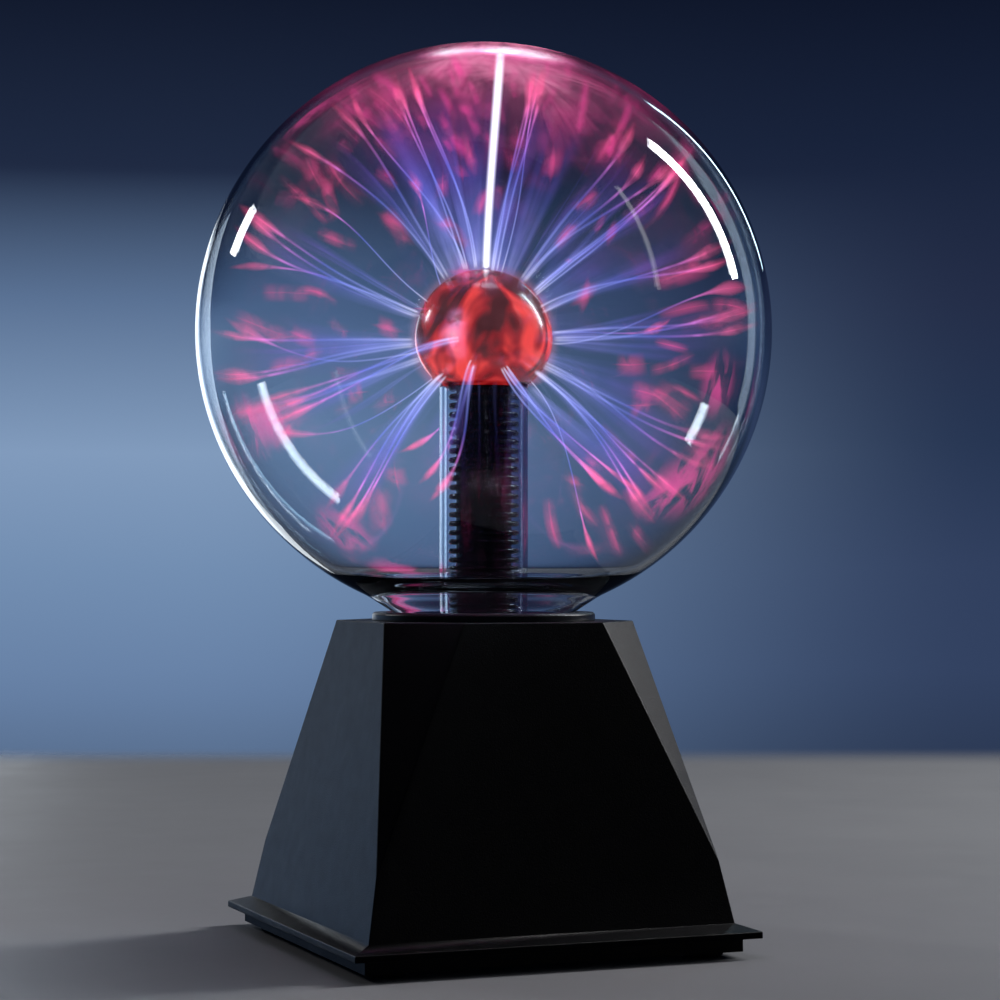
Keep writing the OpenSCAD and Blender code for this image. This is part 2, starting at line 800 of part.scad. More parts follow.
module filter_capacitors() {
    for (i = [0:len(capacitor_sizes) - 1])
        translate([capacitor_x[i], front_row_y, parts_z]) {
            d = capacitor_sizes[i][0];
            h = capacitor_sizes[i][1];
            color("#20304f")
                rotate_extrude()
                    polygon([
                        [0, 0], [d / 2, 0], [d / 2, h - 0.8], [d / 2 - 0.6, h], [d / 2 - 1.4, h],
                        [d / 2 - 1.6, h - 0.4], [0, h - 0.4]
                    ]);
        }
}

module film_capacitors() {
    color("#a8541c")
        for (x = film_x)
            translate([x, front_row_y, 0]) block(film_size.x, film_size.y, parts_z, parts_z + film_size.z);
}

module resistors() {
    lift = 1.2;
    lead = 0.7;
    for (x = resistor_x)
        translate([x, back_row_y, parts_z]) {
            color("#c8b48a")
                translate([0, -resistor_l / 2, lift + resistor_d / 2])
                    rotate([-90, 0, 0]) cylinder(h = resistor_l, d = resistor_d);
            color("#c8c8cc")
                for (side = [-1, 1])
                    translate([-lead / 2, side * (resistor_l / 2 + 0.6) - 0.8, 0])
                        cube([lead, 1.6, lift + resistor_d / 2 + lead / 2]);
        }
}

module driver_chip() {
    body = [9.8, 6.4, 3.3];
    pins = 4;
    pitch = 2.54;
    lift = 0.5;
    translate([chip_at.x, chip_at.y, 0]) {
        color("#161618") block(body.x, body.y, parts_z + lift, parts_z + lift + body.z);
        color("#c0c2c6")
            for (side = [-1, 1])
                for (i = [0:pins - 1])
                    translate([(i - (pins - 1) / 2) * pitch, side * (body.y / 2 + 0.3), 0])
                        block(0.6, 1, parts_z, parts_z + lift + body.z / 2);
    }
}

module trimmer() {
    side = 9.5;
    height = 4.8;
    color("#2a5aa8")
        translate([trimmer_at.x, trimmer_at.y, 0])
            difference() {
                union() {
                    block(side, side, parts_z, parts_z + height);
                    translate([0, 0, parts_z + height - eps]) cylinder(h = 0.7, d = 4.4);
                }
                block(3.4, 0.7, parts_z + height, parts_z + height + 1);
            }
}

module microphone() {
    can_d = 9.7;
    can_h = 6.7;
    color("#c0c2c6")
        translate([microphone_at.x, microphone_at.y, parts_z])
            difference() {
                cylinder(h = can_h, d = can_d);
                translate([0, 0, can_h - 0.5]) cylinder(h = 1, d = can_d - 2.4);
            }
}

module wire_headers() {
    color("#e6e2d6")
        for (place = header_at)
            translate([place.x, place.y, 0])
                block(header_size.x, header_size.y, parts_z, parts_z + header_size.z);
}

// ---------- power inlet ----------

module dc_jack() {
    color("#141416")
        on_back_wall(jack_x, inlet_z)
            difference() {
                union() {
                    rotate_extrude()
                        polygon([
                            [0, 0], [jack_flange_d / 2, 0], [jack_flange_d / 2, jack_flange_t - 0.5],
                            [jack_flange_d / 2 - 0.5, jack_flange_t], [0, jack_flange_t]
                        ]);
                    translate([0, 0, -jack_depth]) cylinder(h = jack_depth, d = jack_d);
                    for (side = [-1, 1])
                        translate([side * 3 - 1, -0.4, -jack_depth - jack_tag_l])
                            cube([2, 0.8, jack_tag_l + eps]);
                }
                translate([0, 0, jack_flange_t - socket_depth]) cylinder(h = socket_depth + 1, d = socket_d);
            }
}

module dc_jack_pin() {
    tip = 1;
    color("#d0d2d6")
        on_back_wall(jack_x, inlet_z)
            translate([0, 0, jack_flange_t - socket_depth]) {
                cylinder(h = socket_depth - 2 * tip, d = jack_pin_d);
                translate([0, 0, socket_depth - 2 * tip]) cylinder(h = tip, d1 = jack_pin_d, d2 = jack_pin_d * 0.6);
            }
}

module dc_jack_nut() {
    color("#c0c2c6")
        on_back_wall(jack_x, inlet_z)
            translate([0, 0, -base_wall - nut_t])
                difference() {
                    cylinder(h = nut_t, d = jack_d + 5, $fn = 6);
                    translate([0, 0, -1]) cylinder(h = nut_t + 2, d = jack_d);
                }
}

// ---------- switch ----------

module switch_body() {
    color("#141416")
        on_back_wall(switch_x, inlet_z)
            difference() {
                union() {
                    block(switch_w + 2 * bezel_rim, switch_l + 2 * bezel_rim, 0, bezel_h);
                    block(switch_w, switch_l, -switch_depth, 0.5);
                }
                block(pocket_w, pocket_l, -pocket_depth, bezel_h + 1);
                translate([-pocket_w / 2 - pivot_reach, 0, 0])
                    rotate([0, 90, 0])
                        cylinder(h = pocket_w + 2 * pivot_reach, d = pivot_d + 2 * pivot_gap);
            }
}

// The rocker is drawn at rest with its upper half pressed in, which is on
module rocker() {
    crown = bezel_h + 0.3;
    rise = rocker_r * tan(rocker_tilt);
    depth = 2.6;
    color("#0f0f11")
        on_back_wall(switch_x, inlet_z)
            rotate([rocker_tilt, 0, 0])
                union() {
                    translate([-rocker_w / 2, 0, 0])
                        rotate([90, 0, 90])
                            linear_extrude(rocker_w)
                                intersection() {
                                    circle(r = rocker_r);
                                    polygon([
                                        [-rocker_r, -depth], [rocker_r, -depth], [rocker_r, crown + rise],
                                        [0, crown], [-rocker_r, crown + rise]
                                    ]);
                                }
                    translate([-rocker_w / 2 - rocker_gap - pivot_reach + 0.1, 0, 0])
                        rotate([0, 90, 0])
                            cylinder(h = rocker_w + 2 * (rocker_gap + pivot_reach - 0.1), d = pivot_d);
                }
}

module switch_terminals() {
    color("#d0b060")
        on_back_wall(switch_x, inlet_z)
            for (i = [-1:1])
                translate([0, i * blade_pitch, 0])
                    block(blade_w, blade_t, -switch_depth - blade_l, -switch_depth);
}

// ---------- wires ----------

// A place behind the back wall, in the model's own frame
function behind_wall(x, down, depth) = [
    x,
    wall_half(inlet_z) + down * sin(wall_tilt) - depth * cos(wall_tilt),
    inlet_z - down * cos(wall_tilt) - depth * sin(wall_tilt)
];

// A wire from a tag behind the wall to a header's top
module tag_to_header(x, down, depth, place) {
    header_top = parts_z + header_size.z;
    next = behind_wall(x, down, depth + 2.5);
    bend = smooth([
        behind_wall(x, down, depth + 1),
        next,
        [(next.x + place.x) / 2, (next.y + place.y) / 2, max(next.z, header_top + 6)],
        [place.x, place.y, header_top + 4],
        [place.x, place.y, header_top + 1]
    ], 4);
    wire(concat([behind_wall(x, down, depth)], bend, [[place.x, place.y, header_top]]), wire_r);
}

module switch_wires() {
    color("#c03030")
        for (i = [-1:1])
            tag_to_header(switch_x, i * blade_pitch, switch_depth + blade_l,
                [header_at[1].x + i * 3, header_at[1].y]);
}

module power_wires() {
    color("#1c1c1e")
        for (side = [-1, 1])
            tag_to_header(jack_x + side * 3, 0, jack_depth + jack_tag_l,
                [header_at[0].x + side * 3, header_at[0].y]);
}

globe();
stem_tube();
electrode_ball();
insulator_sleeve();
contact_cap();
contact_spring();
high_voltage_lead();
neck_collar();
neck_gasket();
globe_seat();
seat_screws();
housing();
bottom_cover();
rubber_feet();
cover_screws();
circuit_board();
board_screws();
transformer_core();
high_voltage_coil();
transformer_bobbin();
transformer_winding();
power_transistor();
heat_sink();
transistor_screw();
filter_capacitors();
film_capacitors();
resistors();
driver_chip();
trimmer();
microphone();
wire_headers();
dc_jack();
dc_jack_pin();
dc_jack_nut();
switch_body();
rocker();
switch_terminals();
switch_wires();
power_wires();
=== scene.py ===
"""Plasma ball: the finished surfaces and the discharge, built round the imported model. Metres, +Z up, front -Y."""

import json
import math
import random

import bmesh
import bpy
import numpy as np
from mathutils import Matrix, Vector

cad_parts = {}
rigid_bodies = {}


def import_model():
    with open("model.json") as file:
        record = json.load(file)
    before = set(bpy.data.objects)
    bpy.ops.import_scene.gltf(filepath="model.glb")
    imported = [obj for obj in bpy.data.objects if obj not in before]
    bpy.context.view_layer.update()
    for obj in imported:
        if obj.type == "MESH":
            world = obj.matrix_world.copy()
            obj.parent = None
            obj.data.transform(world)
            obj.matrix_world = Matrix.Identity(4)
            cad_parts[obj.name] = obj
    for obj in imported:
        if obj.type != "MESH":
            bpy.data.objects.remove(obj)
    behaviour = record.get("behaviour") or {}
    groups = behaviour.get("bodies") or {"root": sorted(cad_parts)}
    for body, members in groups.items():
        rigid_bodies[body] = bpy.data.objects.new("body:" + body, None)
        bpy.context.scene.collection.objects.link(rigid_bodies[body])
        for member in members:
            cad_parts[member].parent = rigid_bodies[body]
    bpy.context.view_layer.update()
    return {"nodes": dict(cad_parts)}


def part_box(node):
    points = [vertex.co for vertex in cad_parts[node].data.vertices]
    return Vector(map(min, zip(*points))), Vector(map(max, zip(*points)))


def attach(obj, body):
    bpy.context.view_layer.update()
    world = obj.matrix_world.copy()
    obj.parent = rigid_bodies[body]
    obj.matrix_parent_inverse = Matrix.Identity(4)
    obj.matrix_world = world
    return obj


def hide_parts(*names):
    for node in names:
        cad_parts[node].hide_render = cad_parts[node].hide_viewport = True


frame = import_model()
NODES = frame["nodes"]
MM = 0.001

# ---------- places taken from the frame ----------

globe_lo, globe_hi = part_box("globe")
ball_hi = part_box("electrode_ball")[1]
sleeve_lo, sleeve_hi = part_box("insulator_sleeve")
collar_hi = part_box("neck_collar")[1]
GLOBE_MIDDLE = 214.48 * MM
GLOBE_R = globe_hi.z - GLOBE_MIDDLE
GLOBE_C = Vector((0, 0, globe_hi.z - GLOBE_R))
GLASS_WALL = 2.2 * MM
NECK_R = 31.25 * MM
NECK_TOP = collar_hi.z - 0.6 * MM
FUNNEL_R = 41.4 * MM
FUNNEL_TOP = NECK_TOP + 6.4 * MM
BALL_R = 24.45 * MM
BALL_C = Vector((0, 0, ball_hi.z - BALL_R))
BALL_SQUASH = 0.85
STEM_R = 15.7 * MM
STEM_WALL = 1.6 * MM
INSIDE_R = GLOBE_R - GLASS_WALL

# ---------- camera ----------

VIEW_SIDE = 22.1  # degrees that the viewer stands to the left of the front
camera = bpy.data.objects.new("camera", bpy.data.cameras.new("camera"))
camera.data.lens = 90.78
camera.data.clip_start, camera.data.clip_end = 0.01, 50
camera.location = (-0.33, -0.8281, 0.1315)
camera.rotation_euler = (math.radians(90 + 1.534), 0, math.radians(-VIEW_SIDE))
bpy.context.scene.collection.objects.link(camera)
bpy.context.scene.camera = camera

# ---------- node trees ----------


class Value:
    """A socket of a node tree. Arithmetic on it adds the Math nodes that work it out."""

    def __init__(self, tree, socket):
        self.tree, self.socket = tree, socket

    def math(self, operation, *terms):
        return add(self.tree, "ShaderNodeMath", {"operation": operation}, dict(enumerate(terms)))

    def other(self, name):
        return Value(self.tree, self.socket.node.outputs[name])

    def clamp(self):
        return add(self.tree, "ShaderNodeClamp", None, {0: self})

    def fall(self, start, end):
        """1 where the value is start, 0 where it is end, with soft ends."""
        settings = {"interpolation_type": "SMOOTHSTEP"}
        return add(self.tree, "ShaderNodeMapRange", settings, {0: self, 1: start, 2: end, 3: 1, 4: 0})

    def __add__(self, other):
        return self.math("ADD", self, other)

    def __sub__(self, other):
        return self.math("SUBTRACT", self, other)

    def __rsub__(self, other):
        return self.math("SUBTRACT", other, self)

    def __mul__(self, other):
        return self.math("MULTIPLY", self, other)

    def __pow__(self, other):
        return self.math("POWER", self, other)

    __radd__ = __add__


def add(tree, kind, settings=None, inputs=None, out=0):
    """One node: its settings first, then the numbers or links of its sockets. Returns one of its outputs."""
    node = tree.nodes.new(kind)
    for key, setting in (settings or {}).items():
        if key == "stops":
            ramp = node.color_ramp
            while len(ramp.elements) < len(setting):
                ramp.elements.new(0.5)
            for stop, (at, colour) in zip(ramp.elements, setting):
                stop.position = at
                stop.color = (*colour, 1)
        elif key == "captures":
            for item, sort in setting:
                node.capture_items.new(sort, item)
        else:
            setattr(node, key, setting)
    for key, given in (inputs or {}).items():
        if isinstance(given, Value):
            tree.links.new(given.socket, node.inputs[key])
        else:
            node.inputs[key].default_value = given
    return Value(tree, node.outputs[out]) if node.outputs else None


def start(name):
    """The empty node tree of a new material."""
    material = bpy.data.materials.new(name)
    material.use_nodes = True
    material.node_tree.nodes.clear()
    return material, material.node_tree


def close(tree, shader):
    """Ends the material, or the world, with its shader."""
    kind = "ShaderNodeOutputWorld" if shader.socket.node.type == "BACKGROUND" else "ShaderNodeOutputMaterial"
    add(tree, kind, None, {"Surface": shader})


def place(tree, stretch=(1, 1, 1)):
    """A point of the piece, in metres, stretched along each axis."""
    at = add(tree, "ShaderNodeTexCoord", None, None, "Object")
    return add(tree, "ShaderNodeMapping", None, {"Vector": at, "Scale": stretch})


def noise(tree, point, scale, detail=3, rough=0.5, bend=0):
    inputs = {"Vector": point, "Scale": scale, "Detail": detail, "Roughness": rough, "Distortion": bend}
    return add(tree, "ShaderNodeTexNoise", None, inputs)


def tone(tree, factor, *stops):
    """A colour that runs through evenly spaced stops, or through (place, colour) stops."""
    if not isinstance(stops[0][1], tuple):
        stops = [(i / (len(stops) - 1), colour) for i, colour in enumerate(stops)]
    return add(tree, "ShaderNodeValToRGB", {"stops": stops}, {"Fac": factor})


def relief(tree, height, depth):
    """The normal of a surface whose height varies by depth."""
    return add(tree, "ShaderNodeBump", None, {"Height": height, "Distance": depth, "Strength": 1})


def principled(tree, **inputs):
    named = {key.replace("_", " "): given for key, given in inputs.items()}
    return add(tree, "ShaderNodeBsdfPrincipled", None, named)


# ---------- finishes ----------


def moulded(name, dark, light, rough=(0.35, 0.5), grain=0.4 * MM, depth=0.02 * MM, **more):
    """Moulded plastic or rubber: cloudy colour, fine grain and slightly uneven gloss."""
    material, tree = start(name)
    at = place(tree)
    cloud = noise(tree, at, 45, 4)
    fine = noise(tree, at, 1 / grain, 3, 0.6)
    gloss = noise(tree, at, 160, 2) * (rough[1] - rough[0]) + rough[0]
    colour = tone(tree, cloud * 0.6 + fine * 0.4, dark, light)
    close(tree, principled(tree, Base_Color=colour, Roughness=gloss, Normal=relief(tree, fine, depth), **more))
    return material


def metal(name, dark, light, rough=(0.2, 0.4), stretch=(1, 1, 1), scale=900):
    """Metal with fine drawn or brushed marks and some dulling."""
    material, tree = start(name)
    marks = noise(tree, place(tree, stretch), scale, 4, 0.6)
    dull = noise(tree, place(tree), 120, 3)
    colour = tone(tree, dull * 0.7 + marks * 0.3, dark, light)
    gloss = (marks * 0.5 + dull * 0.5) * (rough[1] - rough[0]) * 2 + rough[0] * 0.6
    normal = relief(tree, marks, 0.01 * MM)
    close(tree, principled(tree, Base_Color=colour, Roughness=gloss.clamp(), Metallic=1.0, Normal=normal))
    return material


def clear_glass():
    """Blown glass: faintly smoked, with slight waves and a touch of dust. Lamps shine through it."""
    material, tree = start("clear_glass")
    at = place(tree)
    colour = tone(tree, noise(tree, at, 14, 2), (0.8, 0.86, 0.92), (0.83, 0.89, 0.95))
    dust = noise(tree, at, 60, 4).fall(0.8, 0.5) * 0.01
    normal = relief(tree, noise(tree, at, 18, 1), 0.02 * MM)
    glass = principled(tree, Base_Color=colour, Roughness=dust, IOR=1.47, Transmission_Weight=1.0, Normal=normal)
    clear = add(tree, "ShaderNodeBsdfTransparent", None, {"Color": (0.96, 0.98, 1, 1)})
    shadow = add(tree, "ShaderNodeLightPath", None, None, "Is Shadow Ray")
    close(tree, add(tree, "ShaderNodeMixShader", None, {0: shadow, 1: glass, 2: clear}))
    return material


def electrode_red():
    """Glossy red glass over a dark conductive coating, patchy in colour, with a painted glow in the brighter patches
    that stands in for light from the discharge.
    """
    material, tree = start("electrode_red")
    at = place(tree)
    cloud = noise(tree, place(tree, (1, 1, 0.6)), 78, 2, 0.5, 0.7)
    colour = tone(tree, cloud, (0.44, (0.01, 0.0, 0.001)), (0.53, (0.2, 0.002, 0.005)), (0.68, (0.6, 0.03, 0.03)))
    # painted glow: emission in the same cloud as the coating's red patches, standing in for the discharge's light on
    # the ball
    glow = tone(tree, cloud, (0.42, (0.0, 0.0, 0.0)), (0.53, (0.3, 0.003, 0.006)), (0.66, (1.0, 0.06, 0.045)))
    ripple = relief(tree, noise(tree, at, 30, 2), 0.15 * MM)
    shader = principled(
        tree, Base_Color=colour, Roughness=noise(tree, at, 90, 3) * 0.2 + 0.12, Normal=ripple, Coat_Weight=1.0,
        Coat_Roughness=0.02, Coat_IOR=1.5, Sheen_Weight=0.3, Sheen_Roughness=0.25, Sheen_Tint=(1, 0.45, 0.5, 1),
        Emission_Color=glow, Emission_Strength=0.9,
    )
    close(tree, shader)
    return material


def copper_enamel():
    """Enamelled copper wire laid in close turns, with painted shade in the grooves between them."""
    material, tree = start("copper_enamel")
    at = place(tree)
    turns = add(tree, "ShaderNodeTexWave", {"bands_direction": "Z"}, {"Vector": at, "Scale": 260, "Distortion": 0.4})
    # painted shade: the colour follows the turns' relief and is darker in the grooves between turns
    colour = tone(tree, turns, (0.18, 0.04, 0.015), (0.72, 0.27, 0.12))
    normal = relief(tree, turns, 0.2 * MM)
    gloss = noise(tree, at, 300, 2) * 0.2 + 0.2
    close(tree, principled(tree, Base_Color=colour, Roughness=gloss, Metallic=0.85, Normal=normal))
    return material


def board_green():
    """Solder mask over copper tracks."""
    material, tree = start("board_green")
    at = place(tree)
    settings = {"distance": "CHEBYCHEV", "feature": "F1"}
    tracks = add(tree, "ShaderNodeTexVoronoi", settings, {"Vector": at, "Scale": 160}).fall(0.34, 0.4)
    colour = tone(tree, tracks * 0.7 + noise(tree, at, 80, 3) * 0.3, (0.006, 0.05, 0.02), (0.02, 0.16, 0.07))
    gloss = noise(tree, at, 200, 2) * 0.2 + 0.2
    close(tree, principled(tree, Base_Color=colour, Roughness=gloss, Normal=relief(tree, tracks, 0.05 * MM)))
    return material


FINISHES = {
    "clear_glass": clear_glass(),
    "electrode_red": electrode_red(),
    "sleeve_black": moulded("sleeve_black", (0.002, 0.002, 0.003), (0.006, 0.006, 0.008), (0.08, 0.18), 0.8 * MM),
    "housing_black": moulded(
        "housing_black", (0.002, 0.002, 0.003), (0.006, 0.006, 0.008), (0.3, 0.42), 0.5 * MM, 0.09 * MM
    ),
    "cover_black": moulded("cover_black", (0.006, 0.006, 0.007), (0.016, 0.016, 0.018), (0.45, 0.6), 0.5 * MM),
    "collar_black": moulded("collar_black", (0.005, 0.005, 0.007), (0.014, 0.014, 0.018), (0.25, 0.36), 0.4 * MM),
    "foot_rubber": moulded("foot_rubber", (0.01, 0.01, 0.01), (0.03, 0.03, 0.03), (0.7, 0.85), 0.3 * MM),
    "silicone_grey": moulded("silicone_grey", (0.22, 0.24, 0.27), (0.32, 0.35, 0.38), (0.45, 0.6), 0.6 * MM),
    "seat_plastic": moulded("seat_plastic", (0.02, 0.021, 0.025), (0.04, 0.043, 0.05), (0.4, 0.55)),
    "zinc_steel": metal("zinc_steel", (0.5, 0.5, 0.52), (0.75, 0.76, 0.8)),
    "brass": metal("brass", (0.55, 0.36, 0.12), (0.8, 0.6, 0.25)),
    "lead_red": moulded("lead_red", (0.3, 0.015, 0.01), (0.45, 0.03, 0.02), (0.4, 0.55)),
    "lead_black": moulded("lead_black", (0.01, 0.01, 0.012), (0.03, 0.03, 0.034), (0.4, 0.55)),
    "board_green": board_green(),
    "ferrite": moulded("ferrite", (0.03, 0.03, 0.032), (0.07, 0.07, 0.075), (0.55, 0.75), 0.2 * MM, 0.05 * MM),
    "potting_black": moulded("potting_black", (0.008, 0.008, 0.009), (0.02, 0.02, 0.022), (0.15, 0.35), 2 * MM),
    "bobbin_cream": moulded("bobbin_cream", (0.55, 0.47, 0.32), (0.7, 0.62, 0.45), (0.4, 0.55)),
    "copper_enamel": copper_enamel(),
    "chip_black": moulded("chip_black", (0.012, 0.012, 0.013), (0.03, 0.03, 0.032), (0.5, 0.65), 0.15 * MM),
    "sink_aluminium": metal("sink_aluminium", (0.5, 0.5, 0.51), (0.78, 0.78, 0.8), (0.3, 0.5), (20, 20, 1), 300),
    "capacitor_blue": moulded("capacitor_blue", (0.01, 0.03, 0.14), (0.02, 0.06, 0.24), (0.2, 0.35)),
    "film_orange": moulded("film_orange", (0.5, 0.12, 0.02), (0.7, 0.2, 0.04), (0.25, 0.4)),
    "resistor_tan": moulded("resistor_tan", (0.4, 0.27, 0.13), (0.6, 0.42, 0.22), (0.4, 0.55)),
    "trimmer_blue": moulded("trimmer_blue", (0.02, 0.08, 0.3), (0.04, 0.14, 0.45), (0.35, 0.5)),
    "header_white": moulded("header_white", (0.6, 0.58, 0.52), (0.75, 0.73, 0.68), (0.4, 0.55)),
    "switch_black": moulded("switch_black", (0.005, 0.005, 0.006), (0.014, 0.014, 0.016), (0.25, 0.38), 0.5 * MM),
    "contact_plate": metal("contact_plate", (0.6, 0.6, 0.58), (0.85, 0.85, 0.83)),
}
for cad in NODES.values():
    for holder in cad.material_slots:
        holder.material = FINISHES[holder.material.name.split(".")[0]]

# ---------- pieces ----------


def piece(name, mesh, material, body="root", stands_for=()):
    """A finished piece: its mesh in place, its material, and the body it rides on."""
    thing = bpy.data.objects.new(name, mesh)
    bpy.context.scene.collection.objects.link(thing)
    if material:
        mesh.materials.clear()
        mesh.materials.append(material)
    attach(thing, body)
    if stands_for:
        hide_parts(*stands_for)
    return thing


def smooth(mesh, angle=40):
    mesh.shade_smooth()
    mesh.set_sharp_from_angle(angle=math.radians(angle))
    return mesh


def spun(name, profile, around=192, angle=40):
    """A solid turned about the axis from a closed line of (radius, height)."""
    profile = [*profile, profile[0]]
    form = bmesh.new()
    turns = [2 * math.pi * k / around for k in range(around)]
    rings = [[form.verts.new((r * math.cos(a), r * math.sin(a), z)) for a in turns] for r, z in profile]
    for lower, upper in zip(rings, rings[1:]):
        for k in range(around):
            j = (k + 1) % around
            form.faces.new((lower[k], lower[j], upper[j], upper[k]))
    bmesh.ops.remove_doubles(form, verts=form.verts, dist=1e-6)
    bmesh.ops.recalc_face_normals(form, faces=form.faces)
    mesh = bpy.data.meshes.new(name)
    form.to_mesh(mesh)
    form.free()
    return smooth(mesh, angle)


def eased(line, reach, step=0.4 * MM):
    """The line with its corners rounded over about reach, sampled every step."""
    line = np.array(line, float)
    along = np.concatenate([[0], np.cumsum(np.linalg.norm(np.diff(line, axis=0), axis=1))])
    even = np.arange(0, along[-1], step)
    fine = np.stack([np.interp(even, along, line[:, i]) for i in (0, 1)], 1)
    window = np.hanning(2 * int(reach / step) + 3)
    window /= window.sum()
    half = len(window) // 2
    padded = np.concatenate([2 * fine[0] - fine[half:0:-1], fine, 2 * fine[-1] - fine[-2 : -half - 2 : -1]])
    soft = np.stack([np.convolve(padded[:, i], window, "valid") for i in (0, 1)], 1)
    soft[0], soft[-1] = line[0], line[-1]
    return soft


def thinned(line, bend=1.2, longest=4 * MM):
    """The line without the points that neither turn it nor keep its spans short."""
    kept = [line[0]]
    turn = 0.0
    for before, here, after in zip(line, line[1:], line[2:]):
        a, b = here - before, after - here
        turn += abs(math.degrees(math.atan2(a[0] * b[1] - a[1] * b[0], a @ b)))
        if turn > bend or np.linalg.norm(here - kept[-1]) > longest:
            kept.append(here)
            turn = 0.0
    return np.array([*kept, line[-1]])


def inside(outer, wall):
    """The line moved towards the axis by wall, a number or one number for each point."""
    run = np.gradient(outer, axis=0)
    run /= np.linalg.norm(run, axis=1)[:, None]
    return outer + np.stack([-run[:, 1], run[:, 0]], 1) * np.reshape(wall, (-1, 1))


def held(mesh):
    """A temporary object that shows the mesh."""
    holder = bpy.data.objects.new(mesh.name, mesh)
    bpy.context.scene.collection.objects.link(holder)
    return holder


def settled(holder, name):
    """The plain mesh of a temporary object with its modifiers worked out."""
    graph = bpy.context.evaluated_depsgraph_get()
    mesh = bpy.data.meshes.new_from_object(holder.evaluated_get(graph))
    mesh.name = name
    bpy.data.objects.remove(holder)
    return mesh


def rounded(node, edge, steps=3, angle=28):
    """A copy of a CAD node, merged into whole faces, with its outer edges rounded over and its flats shaded flat."""
    form = bmesh.new()
    form.from_mesh(NODES[node].data)
    bmesh.ops.remove_doubles(form, verts=form.verts, dist=2e-6)
    bmesh.ops.dissolve_limit(form, angle_limit=math.radians(0.6), verts=form.verts, edges=form.edges)
    weight = form.edges.layers.float.new("bevel_weight_edge")
    for line in form.edges:
        outer = line.is_manifold and line.is_convex and line.calc_face_angle() > math.radians(angle)
        line[weight] = 1.0 if outer else 0.0
    mesh = bpy.data.meshes.new(node + "_form")
    form.to_mesh(mesh)
    form.free()
    holder = held(mesh)
    bevel = holder.modifiers.new("edge", "BEVEL")
    bevel.width, bevel.segments, bevel.limit_method = edge, steps, "WEIGHT"
    bevel.use_clamp_overlap = True
    bevel.miter_outer = "MITER_ARC"
    holder = held(smooth(settled(holder, node + "_rounded")))
    even = holder.modifiers.new("even", "WEIGHTED_NORMAL")
    even.weight, even.keep_sharp = 100, True
    return settled(holder, node + "_rounded")


class Grower:
    """A Geometry Nodes tree with named inputs."""

    def __init__(self, name, **sizes):
        self.tree = bpy.data.node_groups.new(name, "GeometryNodeTree")
        self.ids = {}
        face = self.tree.interface
        face.new_socket("Geometry", in_out="INPUT", socket_type="NodeSocketGeometry")
        for key, sort in sizes.items():
            self.ids[key] = face.new_socket(key, in_out="INPUT", socket_type="NodeSocket" + sort).identifier
        face.new_socket("Geometry", in_out="OUTPUT", socket_type="NodeSocketGeometry")
        self.source = add(self.tree, "NodeGroupInput")

    def add(self, kind, settings=None, inputs=None, out=0):
        return add(self.tree, kind, settings, inputs, out)

    def finish(self, geometry):
        whole = self.add("GeometryNodeRealizeInstances", None, {0: geometry})
        soft = self.add("GeometryNodeSetShadeSmooth", None, {0: whole})
        coated = self.add("GeometryNodeSetMaterial", None, {0: soft, "Material": self.source.other("Material")})
        self.add("NodeGroupOutput", None, {0: coated})

    def grow(self, name, source, **values):
        holder = bpy.data.objects.new(name, source)
        bpy.context.scene.collection.objects.link(holder)
        modifier = holder.modifiers.new("grow", "NODES")
        modifier.node_group = self.tree
        for key, value in values.items():
            modifier[self.ids[key]] = value
        return settled(holder, name)


# Globe: sphere, short funnel and straight neck in one blown wall
funnel_turn = math.asin(FUNNEL_R / GLOBE_R)
sphere_line = [
    (GLOBE_R * math.sin(t), GLOBE_C.z - GLOBE_R * math.cos(t)) for t in np.linspace(funnel_turn, math.pi, 400)
]
outer = eased([(NECK_R, globe_lo.z), (NECK_R, NECK_TOP), (FUNNEL_R, FUNNEL_TOP), *sphere_line[1:]], 2.4 * MM)
outer[-1] = (0, GLOBE_C.z + GLOBE_R)
outer = thinned(outer)
gather = np.exp(-(((outer[:, 1] - FUNNEL_TOP + 1 * MM) / (4 * MM)) ** 2)) * 2.6 * MM
taper = np.interp(outer[:, 1], [GLOBE_C.z, globe_hi.z], [0, 0.8 * MM])
inner = inside(outer, GLASS_WALL + gather - taper)
inner[-1, 0] = 0
glass = FINISHES["clear_glass"]
piece("globe_glass", spun("globe_glass", [*outer, *inner[::-1]]), glass, "root", ["globe"])

# Stem: a straight tube that flares out to seal into the neck, and the ball fused to its top
flare_r = NECK_R - GLASS_WALL - 0.05 * MM
flare_z = globe_lo.z + 2.4 * MM
tube_top = BALL_C.z - BALL_SQUASH * math.sqrt(BALL_R**2 - STEM_R**2)
tube = eased([(flare_r, flare_z), (STEM_R + 4 * MM, flare_z), (STEM_R, flare_z + 4 * MM), (STEM_R, tube_top)], 2 * MM)
bore = STEM_R - STEM_WALL
stem_line = [*thinned(tube), (bore, tube_top - 0.8 * MM), (bore, globe_lo.z), (flare_r, globe_lo.z)]
piece("stem_glass", spun("stem_glass", stem_line, 128), glass, "root", ["stem_tube"])

ball_turns = np.linspace(math.asin(bore / BALL_R), math.pi, 90)
ball_line = np.array([
    (BALL_R * math.sin(t), BALL_C.z - BALL_R * math.cos(t) * (BALL_SQUASH if t < math.pi / 2 else 1))
    for t in ball_turns
])
lining = inside(ball_line, STEM_WALL)
ball_line[-1, 0] = lining[-1, 0] = 0
ball_mesh = spun("electrode_shell", [*ball_line, *lining[::-1]], 160)
piece("electrode_shell", ball_mesh, FINISHES["electrode_red"], "root", ["electrode_ball"])

